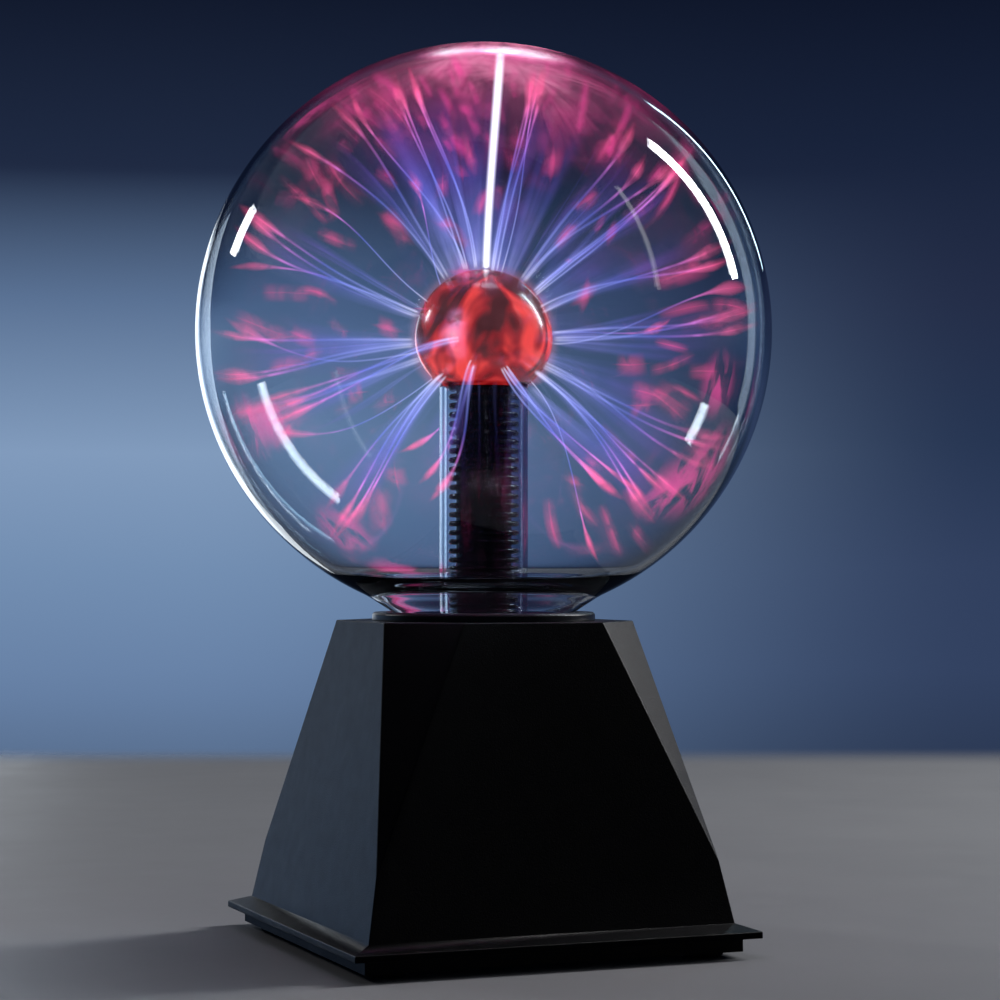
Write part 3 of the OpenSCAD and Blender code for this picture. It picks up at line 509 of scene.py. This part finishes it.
# Insulator: a round core, with ribs grown up it at a fixed pitch
core_r, rib_r = 9.9 * MM, 12.5 * MM
rib_pitch, rib_w = 3.2 * MM, 1.9 * MM
rib_start = globe_lo.z + 10 * MM
rib_count = int((tube_top - 1 * MM - rib_start) / rib_pitch)
rib_end = rib_start + rib_count * rib_pitch
flange_r, flange_z, flange_h = 17 * MM, globe_lo.z - 2.25 * MM, 2.05 * MM
boss_r, boss_z, soft = 13.8 * MM, rib_start - 2 * MM, 0.4 * MM
lead_r, top_r = 2.2 * MM, rib_r - 2.88 * MM
core = [
    (lead_r, sleeve_lo.z), (core_r - 0.5 * MM, sleeve_lo.z), (core_r, sleeve_lo.z + 0.5 * MM),
    (core_r, flange_z), (flange_r, flange_z), (flange_r, flange_z + flange_h), (boss_r, flange_z + flange_h),
    (boss_r, boss_z - soft), (boss_r - soft, boss_z), (core_r, boss_z), (core_r, rib_end),
    (rib_r - soft, rib_end), (rib_r, rib_end + soft), (rib_r, tube_top), (top_r, sleeve_hi.z), (lead_r, sleeve_hi.z),
]
sleeve_black = FINISHES["sleeve_black"]
piece("insulator_core", spun("insulator_core", core, 96), sleeve_black, "root", ["insulator_sleeve"])

ribs = Grower(
    "stacked_ribs", Radius="Float", Depth="Float", Width="Float", Edge="Float", Pitch="Float", Count="Int",
    Start="Float", Material="Material",
)
hoop = ribs.add("GeometryNodeCurvePrimitiveCircle", None, {0: 72, "Radius": ribs.source.other("Radius")})
section = ribs.add(
    "GeometryNodeCurvePrimitiveQuadrilateral", None,
    {"Width": ribs.source.other("Depth"), "Height": ribs.source.other("Width")},
)
section = ribs.add(
    "GeometryNodeFilletCurve", {"mode": "POLY"}, {0: section, "Count": 3, "Radius": ribs.source.other("Edge")}
)
rib = ribs.add("GeometryNodeCurveToMesh", None, {0: hoop, 1: section})
rise = ribs.add("ShaderNodeCombineXYZ", None, {2: ribs.source.other("Pitch")})
foot = ribs.add("ShaderNodeCombineXYZ", None, {2: ribs.source.other("Start")})
stack = ribs.add(
    "GeometryNodeMeshLine", None, {"Count": ribs.source.other("Count"), "Start Location": foot, "Offset": rise}
)
ribs.finish(ribs.add("GeometryNodeInstanceOnPoints", None, {0: stack, "Instance": rib}))
rib_mesh = ribs.grow(
    "insulator_ribs", bpy.data.meshes.new("rib_seed"), Radius=(core_r + rib_r) / 2 - 0.3 * MM,
    Depth=rib_r - core_r + 0.6 * MM, Width=rib_w, Edge=0.9 * MM, Pitch=rib_pitch, Count=rib_count,
    Start=rib_start + rib_w / 2, Material=sleeve_black,
)
piece("insulator_ribs", rib_mesh, sleeve_black)

# Base, collar, cover, feet and the parts on the back wall: the frame's own forms with softened edges
for node, edge, slot, body in (
    ("housing", 0.55, "housing_black", "root"), ("neck_collar", 0.35, "collar_black", "root"),
    ("bottom_cover", 0.3, "cover_black", "root"), ("rubber_feet", 0.5, "foot_rubber", "root"),
    ("switch_body", 0.3, "switch_black", "root"), ("rocker", 0.3, "switch_black", "switch_rocker"),
    ("dc_jack", 0.25, "switch_black", "root"),
):
    piece(node + "_rounded", rounded(node, edge * MM), FINISHES[slot], body, [node])

# ---------- discharge ----------

TOWARDS = Vector((-math.sin(math.radians(VIEW_SIDE)), -math.cos(math.radians(VIEW_SIDE)), 0))
ASIDE = Vector((math.cos(math.radians(VIEW_SIDE)), -math.sin(math.radians(VIEW_SIDE)), 0))
UP = Vector((0, 0, 1))
dice = random.Random(11)


def heading(clock, lean=0):
    """A direction: clock degrees round from straight up, seen from the front left, then lean towards that side."""
    flat = UP * math.cos(math.radians(clock)) + ASIDE * math.sin(math.radians(clock))
    return flat * math.cos(math.radians(lean)) + TOWARDS * math.sin(math.radians(lean))


def scattered():
    """A seeded direction, with none where the stem stands."""
    while True:
        way = Vector((dice.gauss(0, 1), dice.gauss(0, 1), dice.gauss(0, 1))).normalized()
        if way.z > -0.8:
            return way


def arc(leave, land, bow=0.0, wander=0.0, steps=36, reach=0.985):
    """A path that leaves the ball square to it, and meets the glass square to it, with a bow and some wander."""
    start = BALL_C + Vector((leave.x, leave.y, leave.z * (1 if leave.z > 0 else BALL_SQUASH))) * BALL_R
    end = GLOBE_C + land * INSIDE_R * reach
    span = (end - start).length
    side = leave.cross(TOWARDS if abs(leave.dot(TOWARDS)) < 0.9 else UP).normalized()
    near = start + leave * span * 0.4
    far = end - land * span * 0.3 + side * bow * span
    phase = [dice.uniform(0, 6.28) for _ in range(4)]
    across = leave.cross(side).normalized()
    points = []
    for i in range(steps):
        t = i / (steps - 1)
        at = start * (1 - t) ** 3 + near * 3 * t * (1 - t) ** 2 + far * 3 * t * t * (1 - t) + end * t**3
        sway = wander * span * math.sin(math.pi * t)
        at = at + side * sway * math.sin(5 * t + phase[0]) + across * sway * math.sin(6 * t + phase[1])
        points.append(at)
    return points


class Paths:
    """Lines for one discharge piece, each point with its half width and each line with its roll."""

    def __init__(self):
        self.points, self.edges, self.half, self.roll = [], [], [], []

    def run(self, points, width, roll=0.0):
        first = len(self.points)
        self.points += points
        self.edges += [(first + i, first + i + 1) for i in range(len(points) - 1)]
        self.half += [width(i / (len(points) - 1)) for i in range(len(points))]
        self.roll += [roll] * len(points)

    def mesh(self, name):
        mesh = bpy.data.meshes.new(name)
        mesh.from_pydata(self.points, self.edges, [])
        for key, values in (("half_width", self.half), ("roll", self.roll)):
            mesh.attributes.new(key, "FLOAT", "POINT").data.foreach_set("value", values)
        return mesh


def named(grower, key):
    return grower.add("GeometryNodeInputNamedAttribute", {"data_type": "FLOAT"}, {"Name": key})


# Ribbons along paths: x of their "flow" map counts lines and runs across, y runs along
ribbons = Grower("ribbons", Crossed="Bool", Across="Int", Material="Material")
lines = ribbons.add("GeometryNodeMeshToCurve", None, {0: ribbons.source})
lines = ribbons.add("GeometryNodeSetCurveTilt", None, {0: lines, "Tilt": named(ribbons, "roll")})
along = ribbons.add(
    "GeometryNodeCaptureAttribute", {"captures": [("along", "FLOAT")], "domain": "POINT"},
    {0: lines, 1: ribbons.add("GeometryNodeSplineParameter")},
)
which = ribbons.add(
    "GeometryNodeCaptureAttribute", {"captures": [("line", "INT")], "domain": "CURVE"},
    {0: along, 1: ribbons.add("GeometryNodeInputIndex")},
)
flat = ribbons.add("GeometryNodeCurvePrimitiveLine", None, {"Start": (-1, 0, 0), "End": (1, 0, 0)})
flat = ribbons.add("GeometryNodeResampleCurve", None, {0: flat, "Count": ribbons.source.other("Across")})
turned = ribbons.add("GeometryNodeTransform", None, {0: flat, "Rotation": (0, 0, math.pi / 2)})
both = ribbons.add("GeometryNodeJoinGeometry", None, {0: flat})
ribbons.tree.links.new(turned.socket, both.socket.node.inputs[0])
section = ribbons.add(
    "GeometryNodeSwitch", {"input_type": "GEOMETRY"}, {0: ribbons.source.other("Crossed"), 1: flat, 2: both}
)
across = ribbons.add(
    "GeometryNodeCaptureAttribute", {"captures": [("across", "FLOAT")], "domain": "POINT"},
    {0: section, 1: ribbons.add("GeometryNodeSplineParameter")},
)
swept = ribbons.add("GeometryNodeCurveToMesh", None, {0: which, 1: across, "Scale": named(ribbons, "half_width")})
flow = ribbons.add(
    "ShaderNodeCombineXYZ", None,
    {0: which.other("line") + across.other("across") * 0.98 + 0.01, 1: along.other("along")},
)
ribbons.finish(
    ribbons.add(
        "GeometryNodeStoreNamedAttribute", {"data_type": "FLOAT2", "domain": "CORNER"},
        {0: swept, "Name": "flow", "Value": flow},
    )
)


def glowing(name, paint, strength, cover=0.4):
    """A material of light alone: paint gives its colour and density, and cover how much it hides what is behind."""
    material, tree = start(name)
    flow = add(tree, "ShaderNodeSeparateXYZ", None, {0: add(tree, "ShaderNodeUVMap", {"uv_map": "flow"})})
    line = flow.math("FLOOR", flow)
    colour, alpha = paint(tree, flow - line, flow.other("Y"), line, place(tree))
    shader = principled(
        tree, Base_Color=(0, 0, 0, 1), Roughness=1.0, Specular_IOR_Level=0.0, Emission_Color=colour,
        Emission_Strength=strength / cover, Alpha=(alpha * cover).clamp(),
    )
    close(tree, shader)
    material.cycles.emission_sampling = "NONE"
    return material


def bell(across, sharp):
    """1 in the middle of a ribbon, 0 at both edges."""
    return (across * (1 - across) * 4) ** sharp


VIOLET = (0.13, 0.15, 0.7)
LILAC = (0.45, 0.48, 1.0)
PINK = (0.95, 0.13, 0.32)
RED = (0.9, 0.05, 0.15)


def streamer_paint(tree, across, along, line, at):
    colour = tone(
        tree, along, (0.0, (0.95, 0.85, 1.0)), (0.12, LILAC), (0.5, VIOLET), (0.7, (0.75, 0.2, 0.7)),
        (0.82, PINK), (1.0, RED),
    )
    patchy = noise(tree, at, 110, 2, 0.5, 0.4).fall(0.62, 0.38)
    gate = along.fall(0.6, 0.72)
    body = bell(across, 1.6)
    ends = along.fall(0.86, 1.0) * (1 - along.fall(0.0, 0.03))
    return colour, body * ends * (gate * 0.3 + (1 - gate) * (1 - patchy * 0.7) * 0.6)


def fan_paint(tree, across, along, line, at):
    colour = tone(
        tree, along, (0.0, (0.6, 0.56, 1.0)), (0.16, (0.28, 0.28, 0.8)), (0.45, (0.12, 0.11, 0.5)),
        (0.8, (0.2, 0.06, 0.42)), (1.0, PINK),
    )
    grain = add(tree, "ShaderNodeCombineXYZ", None, {0: (line + across) * 5, 1: along * 0.4, 2: line * 3.7})
    streaks = 1 - noise(tree, grain, 0.8, 2, 0.5, 0.2).fall(0.35, 0.7)
    cloud = noise(tree, at, 50, 2).fall(0.3, 0.75)
    ends = along.fall(0.45, 1.0) * (1 - along.fall(0.0, 0.06))
    return colour, bell(across, 1.0) * ends * (streaks * 0.3 + 0.2) * (1 - cloud * 0.5)


def core_paint(tree, across, along, line, at):
    colour = tone(tree, along, (0.95, 0.9, 1.0), (0.9, 0.8, 1.0), (1.0, 0.85, 1.0))
    return colour, bell(across, 2.5) * (1 - along.fall(0.0, 0.02))


def flame_paint(tree, across, along, line, at):
    fine = noise(tree, at, 75, 3, 0.5, 0.6)
    heat = fine * 0.6 + bell(across, 1.0) * 0.4
    colour = tone(tree, heat, (0.4, 0.01, 0.1), (0.7, 0.02, 0.14), (0.9, 0.08, 0.24), (1.0, 0.3, 0.45))
    return colour, bell(across, 1.2) * bell(along, 1.3) * (1 - fine.fall(0.6, 0.4) * 0.85) * 0.36


def haze_paint(tree, across, along, line, at):
    fine = noise(tree, at, 90, 3, 0.6, 1.0)
    colour = tone(tree, fine, (0.6, 0.02, 0.2), (0.85, 0.06, 0.26), (1.0, 0.3, 0.5))
    return colour, bell(across, 1.6) * bell(along, 0.8) * (1 - fine.fall(0.55, 0.4) * 0.7) * 0.24


def spread_paint(tree, across, along, line, at):
    """Tongues of light that creep up the glass: across runs from the middle of the patch out to its edge."""
    tongues = noise(tree, place(tree, (1, 1, 0.3)), 95, 3, 0.5, 0.8)
    colour = tone(tree, tongues, (0.6, 0.02, 0.2), (0.85, 0.07, 0.28), (1.0, 0.35, 0.5))
    return colour, across.fall(0.1, 1.0) * (1 - tongues.fall(0.62, 0.44)) * 0.6


def crown_paint(tree, across, along, line, at):
    """White-hot where the main streamer meets the glass, pink at its edge."""
    cloud = noise(tree, at, 110, 3, 0.6, 1.5).fall(0.7, 0.3)
    colour = tone(tree, across, (1.0, 0.95, 0.97), (1.0, 0.75, 0.82), (1.0, 0.25, 0.45), (0.8, 0.05, 0.3))
    return colour, across.fall(0.2, 1.0) * (cloud * 0.4 + 0.5)


def canopy_paint(tree, across, along, line, at):
    """Soft crimson light that spreads from the top of the globe, in streaks that run down from the middle."""
    grain = add(tree, "ShaderNodeCombineXYZ", None, {0: along * 46, 1: across * 1.6, 2: line * 5.1})
    streaks = noise(tree, grain, 1.0, 3, 0.6, 0.3)
    cloud = noise(tree, at, 38, 3, 0.5, 0.6)
    colour = tone(tree, across + (streaks - 0.5) * 0.5, (1.0, 0.42, 0.56), (0.85, 0.08, 0.27), (0.62, 0.02, 0.2))
    dense = (1 - streaks.fall(0.7, 0.42)) * 0.6 + 0.25
    return colour, across.fall(0.12, 1.0) * dense * (1 - cloud.fall(0.6, 0.35) * 0.8) * 0.5


def corona_paint(tree, across, along, line, at):
    """The skin of light that clings to the ball, in thin shells that add up at its edge."""
    fine = noise(tree, at, 120, 2)
    colour = tone(tree, along, (1.0, 0.1, 0.12), (1.0, 0.35, 0.4), (0.9, 0.5, 0.7))
    return colour, (1 - along) ** 0.9 * (fine * 0.022 + 0.006)


def touch_paint(tree, across, along, line, at):
    """A lilac stain where a streamer aimed at the viewer leaves the ball."""
    cloud = noise(tree, at, 130, 2, 0.5, 0.6)
    colour = tone(tree, across + cloud * 0.4, (1.0, 0.75, 0.95), (0.85, 0.4, 0.75), (0.8, 0.1, 0.3))
    return colour, across.fall(0.1, 1.0) * (1 - cloud.fall(0.65, 0.35) * 0.7) * 0.5


strand_material = glowing("streamer_glow", streamer_paint, 1.2)
fan_material = glowing("fan_glow", fan_paint, 1.2)
core_material = glowing("bright_core", core_paint, 2.5, 1.0)
flame_material = glowing("flame_glow", flame_paint, 1.2)
haze_material = glowing("haze_glow", haze_paint, 1.2)
spread_material = glowing("spread_glow", spread_paint, 1.3)
crown_material = glowing("crown_glow", crown_paint, 4.5)
canopy_material = glowing("canopy_glow", canopy_paint, 1.2)
corona_material = glowing("corona_glow", corona_paint, 1.3)
touch_material = glowing("touch_glow", touch_paint, 1.2)


def flame(thin, wide, peak=0.86):
    """Half width of a streamer that runs thin, then swells into a flame before the glass."""

    def width(t):
        swell = math.exp(-(((t - peak) / 0.085) ** 2))
        return (thin + (wide - thin) * swell) * MM

    return width


streamers, fans, cores, flames, hazes = [Paths() for _ in range(5)]

# The main streamer, straight up, with its bright core
main = heading(3.5, 8)
cores.run(arc(heading(2, 4), main, reach=0.992), lambda t: (2.0 + 0.5 * t) * MM)
fans.run(arc(heading(2, 4), main), lambda t: 5 * MM)

# Clear bundles: where each leaves the ball, where it lands, its spread and its strands
for leave, land, spread, strands in (
    (heading(-10, 10), heading(-13, 12), 7, 2),
    (heading(-18, 15), heading(-24, 14), 9, 3),
    (heading(-32, 5), heading(-40, 10), 10, 2),
    (heading(8, 20), heading(14, 25), 6, 3),
    (heading(35, -5), heading(38, -10), 15, 3),
    (heading(48, 20), heading(52, 16), 6, 3),
    (heading(66, 25), heading(70, 30), 9, 2),
    (heading(88, 10), heading(87, 12), 7, 3),
    (heading(118, 15), heading(121, 18), 15, 3),
    (heading(128, 25), heading(134, 22), 8, 4),
    (heading(-92, 0), heading(-94, 10), 13, 3),
    (heading(-72, 10), heading(-66, 15), 9, 3),
    (heading(-112, 15), heading(-114, 25), 7, 2),
    (heading(-140, 30), heading(-146, 30), 8, 4),
    (heading(-165, 60), heading(-160, 50), 4, 2),
    (heading(-106, 66), heading(-114, 34), 4, 3),
    (heading(150, 50), heading(140, 40), 6, 3),
):
    bow = dice.uniform(-0.12, 0.12)
    for roll in (0, 1.57):
        fans.run(arc(leave, land, bow, reach=0.93), lambda t, spread=spread: (1.5 + spread * t**1.3) * MM, roll)
    for _ in range(strands):
        near = (leave + scattered() * 0.08).normalized()
        far = (land + scattered() * spread * 0.012).normalized()
        streamers.run(arc(near, far, bow + dice.uniform(-0.05, 0.05), 0.006), flame(0.7, dice.uniform(1.6, 3.0)))

# Loose streamers and faint fans all round
for _ in range(18):
    way = scattered()
    land = (way + scattered() * 0.3).normalized()
    if way.dot(TOWARDS) < 0.6:
        streamers.run(arc(way, land, dice.uniform(-0.25, 0.25), 0.01), flame(0.5, dice.uniform(1.6, 3.6)))
for _ in range(34):
    way = scattered()
    spread = dice.uniform(10, 20)
    if way.dot(TOWARDS) < 0.6:
        line = arc(way, way, dice.uniform(-0.2, 0.2), reach=0.93)
        fans.run(line, lambda t, spread=spread: (2 + spread * t) * MM, dice.uniform(0, 3.14))

# Flames that hang between the streamers' ends, and a red haze of short ones under the crown of the globe
for _ in range(72):
    way = scattered()
    low = dice.uniform(0.45, 0.82)
    line = arc(way, (way + scattered() * 0.25).normalized(), dice.uniform(-0.3, 0.3), 0.01, 48)
    line = line[int(low * 47) : int((low + dice.uniform(0.15, 0.36)) * 47) + 1]
    if len(line) > 3:
        wide = dice.uniform(1.8, 5.0)
        flames.run(line, lambda t, wide=wide: wide * MM)
for _ in range(420):
    way = scattered()
    if way.z < dice.uniform(0.45, 0.95):
        continue
    deep = dice.uniform(0.78, 0.93)
    line = arc(way, (way + scattered() * 0.2).normalized(), 0.1, 0, 48, 0.998)[int(deep * 47) :]
    wide = dice.uniform(1.5, 4.0)
    hazes.run(line, lambda t, wide=wide: wide * MM)

for name, paths, material, crossed, across in (
    ("discharge_streamers", streamers, strand_material, True, 5),
    ("discharge_fans", fans, fan_material, False, 7),
    ("discharge_core", cores, core_material, True, 5),
    ("discharge_flames", flames, flame_material, True, 5),
    ("discharge_haze", hazes, haze_material, True, 5),
):
    mesh = ribbons.grow(name, paths.mesh(name), Crossed=crossed, Across=across, Material=material)
    piece(name, mesh, material)


def patches(name, material, spots, rings=10, around=40, centre=GLOBE_C, radius=INSIDE_R):
    """Discs of light that creep over a sphere: (middle, reach in degrees, share of the radius) each."""
    form = bmesh.new()
    flow = form.loops.layers.uv.new("flow")
    for line, (way, reach, share) in enumerate(spots):
        side = way.orthogonal().normalized()
        other = way.cross(side)
        rows = []
        for i in range(rings + 1):
            tilt = math.radians(reach) * i / rings
            row = []
            for k in range(around):
                turn = 2 * math.pi * k / around
                tip = way * math.cos(tilt) + (side * math.cos(turn) + other * math.sin(turn)) * math.sin(tilt)
                row.append(form.verts.new(centre + tip * radius * share))
            rows.append(row)
        for i in range(rings):
            for k in range(around):
                j = (k + 1) % around
                face = form.faces.new((rows[i][k], rows[i + 1][k], rows[i + 1][j], rows[i][j]))
                spots_at = ((i, k), (i + 1, k), (i + 1, k + 1), (i, k + 1))
                for loop, (ring, spoke) in zip(face.loops, spots_at):
                    loop[flow].uv = (line + 0.01 + 0.98 * ring / rings, spoke / around)
    bmesh.ops.remove_doubles(form, verts=form.verts, dist=1e-7)
    mesh = bpy.data.meshes.new(name)
    form.to_mesh(mesh)
    form.free()
    mesh.shade_smooth()
    piece(name, mesh, material)


patches(
    "discharge_crown", crown_material,
    [(heading(3, 5), 11, 1.02), (heading(9, 5), 12, 1.018), (heading(-6, 4), 9, 1.018), (main, 7, 0.993)],
)
patches(
    "discharge_canopy", canopy_material,
    [(heading(2, 0), 55, 1.019), (heading(-6, 5), 46, 0.985), (heading(8, -5), 44, 0.968)], 26, 120,
)
patches(
    "discharge_spread", spread_material,
    [
        (heading(125, 25), 13, 0.99), (heading(133, 32), 9, 0.99), (heading(-147, 32), 8, 0.99),
        (heading(-40, 20), 8, 0.99), (heading(60, 30), 8, 0.99), (heading(100, -25), 9, 0.99),
        (heading(-110, -20), 9, 0.99), (heading(20, -160), 9, 0.99), (heading(70, -150), 8, 0.99),
    ],
)
patches(
    "discharge_touch", touch_material,
    [(heading(-60, 65), 14, 1.02), (heading(-92, 65), 17, 1.03), (heading(-122, 64), 13, 1.02)],
    centre=BALL_C, radius=BALL_R,
)

# Corona: thin shells over the ball, one outside the other, joined end to end into one profile
SHELLS, SHELL_GAP = 8, 0.4 * MM
outward = np.array([(math.sin(t), -math.cos(t)) for t in ball_turns])
shells = [ball_line + outward * i * SHELL_GAP for i in range(1, SHELLS + 1)]
shells = [shell[shell[:, 1] > tube_top][:: 1 if i % 2 else -1] for i, shell in enumerate(shells)]
corona_mesh = spun("discharge_corona", np.concatenate(shells), 96)
flow = corona_mesh.uv_layers.new(name="flow")
for loop in corona_mesh.loops:
    away = (corona_mesh.vertices[loop.vertex_index].co - BALL_C).length / BALL_R
    flow.data[loop.index].uv = (0.5, min(max((away - 1) * 7, 0), 1))
piece("discharge_corona", corona_mesh, corona_material)

# ---------- stage ----------

FLOOR_FRONT, FLOOR_BACK, FLOOR_SIDE = -0.25, 0.98, 0.84


def pale_floor():
    """A plain matt floor that fades out in front, behind and at the sides."""
    material, tree = start("pale_floor")
    at = place(tree)
    colour = tone(tree, noise(tree, at, 6, 4), (0.38, 0.38, 0.4), (0.46, 0.46, 0.48))
    shader = principled(tree, Base_Color=colour, Roughness=noise(tree, at, 30, 3) * 0.2 + 0.45)
    clear = add(tree, "ShaderNodeBsdfTransparent")
    away = add(tree, "ShaderNodeVectorMath", {"operation": "DOT_PRODUCT"}, {0: at, 1: -TOWARDS}, "Value")
    side = add(tree, "ShaderNodeVectorMath", {"operation": "DOT_PRODUCT"}, {0: at, 1: ASIDE}, "Value").math("ABSOLUTE")
    edge = away.fall(0.78, 0.96) * (1 - away.fall(-0.21, -0.14)) * side.fall(0.6, 0.82)
    close(tree, add(tree, "ShaderNodeMixShader", None, {0: edge, 1: clear, 2: shader}))
    return material


form = bmesh.new()
corners = [
    -TOWARDS * away + ASIDE * side
    for away, side in (
        (FLOOR_FRONT, -FLOOR_SIDE), (FLOOR_FRONT, FLOOR_SIDE), (FLOOR_BACK, FLOOR_SIDE), (FLOOR_BACK, -FLOOR_SIDE)
    )
]
form.faces.new([form.verts.new(corner) for corner in corners])
floor_mesh = bpy.data.meshes.new("floor")
form.to_mesh(floor_mesh)
form.free()
floor_mesh.materials.append(pale_floor())
floor = bpy.data.objects.new("floor", floor_mesh)
floor.visible_glossy = False
bpy.context.scene.collection.objects.link(floor)

# World: dusk blue, brightest at eye level, with a pale glow on the left, and nearly dark on the viewer's side
world = bpy.data.worlds.new("dusk")
world.use_nodes = True
world.node_tree.nodes.clear()
sky = world.node_tree
way = add(sky, "ShaderNodeTexCoord", None, None, "Generated")
height = add(sky, "ShaderNodeSeparateXYZ", None, {0: way}).other("Z")
left = add(sky, "ShaderNodeVectorMath", {"operation": "DOT_PRODUCT"}, {0: way, 1: -ASIDE}, "Value")
level = height * 2 + 0.5
dim = tone(
    sky, level, (0.0, (0.004, 0.006, 0.012)), (0.28, (0.018, 0.03, 0.06)), (0.42, (0.032, 0.053, 0.117)),
    (0.5, (0.031, 0.051, 0.114)), (0.6, (0.02, 0.036, 0.084)), (0.71, (0.017, 0.026, 0.063)),
    (0.83, (0.009, 0.016, 0.042)), (0.96, (0.004, 0.007, 0.02)),
)
glow = tone(
    sky, level, (0.2, (0.0, 0.0, 0.0)), (0.4, (0.1, 0.16, 0.255)), (0.5, (0.14, 0.22, 0.33)),
    (0.59, (0.2, 0.29, 0.42)), (0.71, (0.085, 0.14, 0.23)), (0.81, (0.004, 0.006, 0.01)), (1.0, (0.0, 0.0, 0.0)),
)
near = add(sky, "ShaderNodeVectorMath", {"operation": "DOT_PRODUCT"}, {0: way, 1: TOWARDS}, "Value")
glow = add(sky, "ShaderNodeVectorMath", {"operation": "SCALE"}, {0: glow, "Scale": 1 - left.fall(-0.2, 0.13)})
dusk = add(sky, "ShaderNodeVectorMath", {"operation": "ADD"}, {0: dim, 1: glow})
shade = near.fall(-0.75, 0.1) * 0.94 + 0.06
dusk = add(sky, "ShaderNodeVectorMath", {"operation": "SCALE"}, {0: dusk, "Scale": shade})
close(sky, add(sky, "ShaderNodeBackground", None, {"Color": dusk, "Strength": 1.0}))
bpy.context.scene.world = world


def softbox(name, azimuth, elevation, wide, tall, power, colour=(1, 1, 1), distance=1.5, mirrored=True):
    """A lamp aimed at the globe from a given side and height, in degrees."""
    a, e = math.radians(azimuth), math.radians(elevation)
    way = Vector((math.sin(a) * math.cos(e), -math.cos(a) * math.cos(e), math.sin(e)))
    data = bpy.data.lights.new(name, "AREA")
    data.shape, data.size, data.size_y, data.energy, data.color = "RECTANGLE", wide, tall, power, colour
    lamp = bpy.data.objects.new(name, data)
    lamp.location = GLOBE_C + way * distance
    lamp.rotation_mode = "QUATERNION"
    lamp.rotation_quaternion = way.to_track_quat("Z", "Y")
    lamp.visible_camera = False
    lamp.visible_glossy = lamp.visible_transmission = mirrored
    bpy.context.scene.collection.objects.link(lamp)


softbox("tall_strip", 95, 30, 0.14, 0.9, 11)
softbox("small_lamp", -143, 22, 0.15, 0.24, 1.5)
softbox("thin_strip", 133, 22, 0.05, 0.62, 0.4, (0.6, 0.85, 1.0))
softbox("faint_strip", 48, 28, 0.05, 0.9, 0.25)
softbox("rim_strip", 180, -4, 0.3, 0.85, 1.3, (0.85, 0.93, 1.0))
softbox("overhead", -30, 80, 1.2, 1.2, 1.8, (0.85, 0.9, 1.0), mirrored=False)

scene = bpy.context.scene
scene.view_settings.view_transform = "Standard"
scene.cycles.transparent_max_bounces = 96
scene.cycles.max_bounces = 16
scene.cycles.transmission_bounces = 16
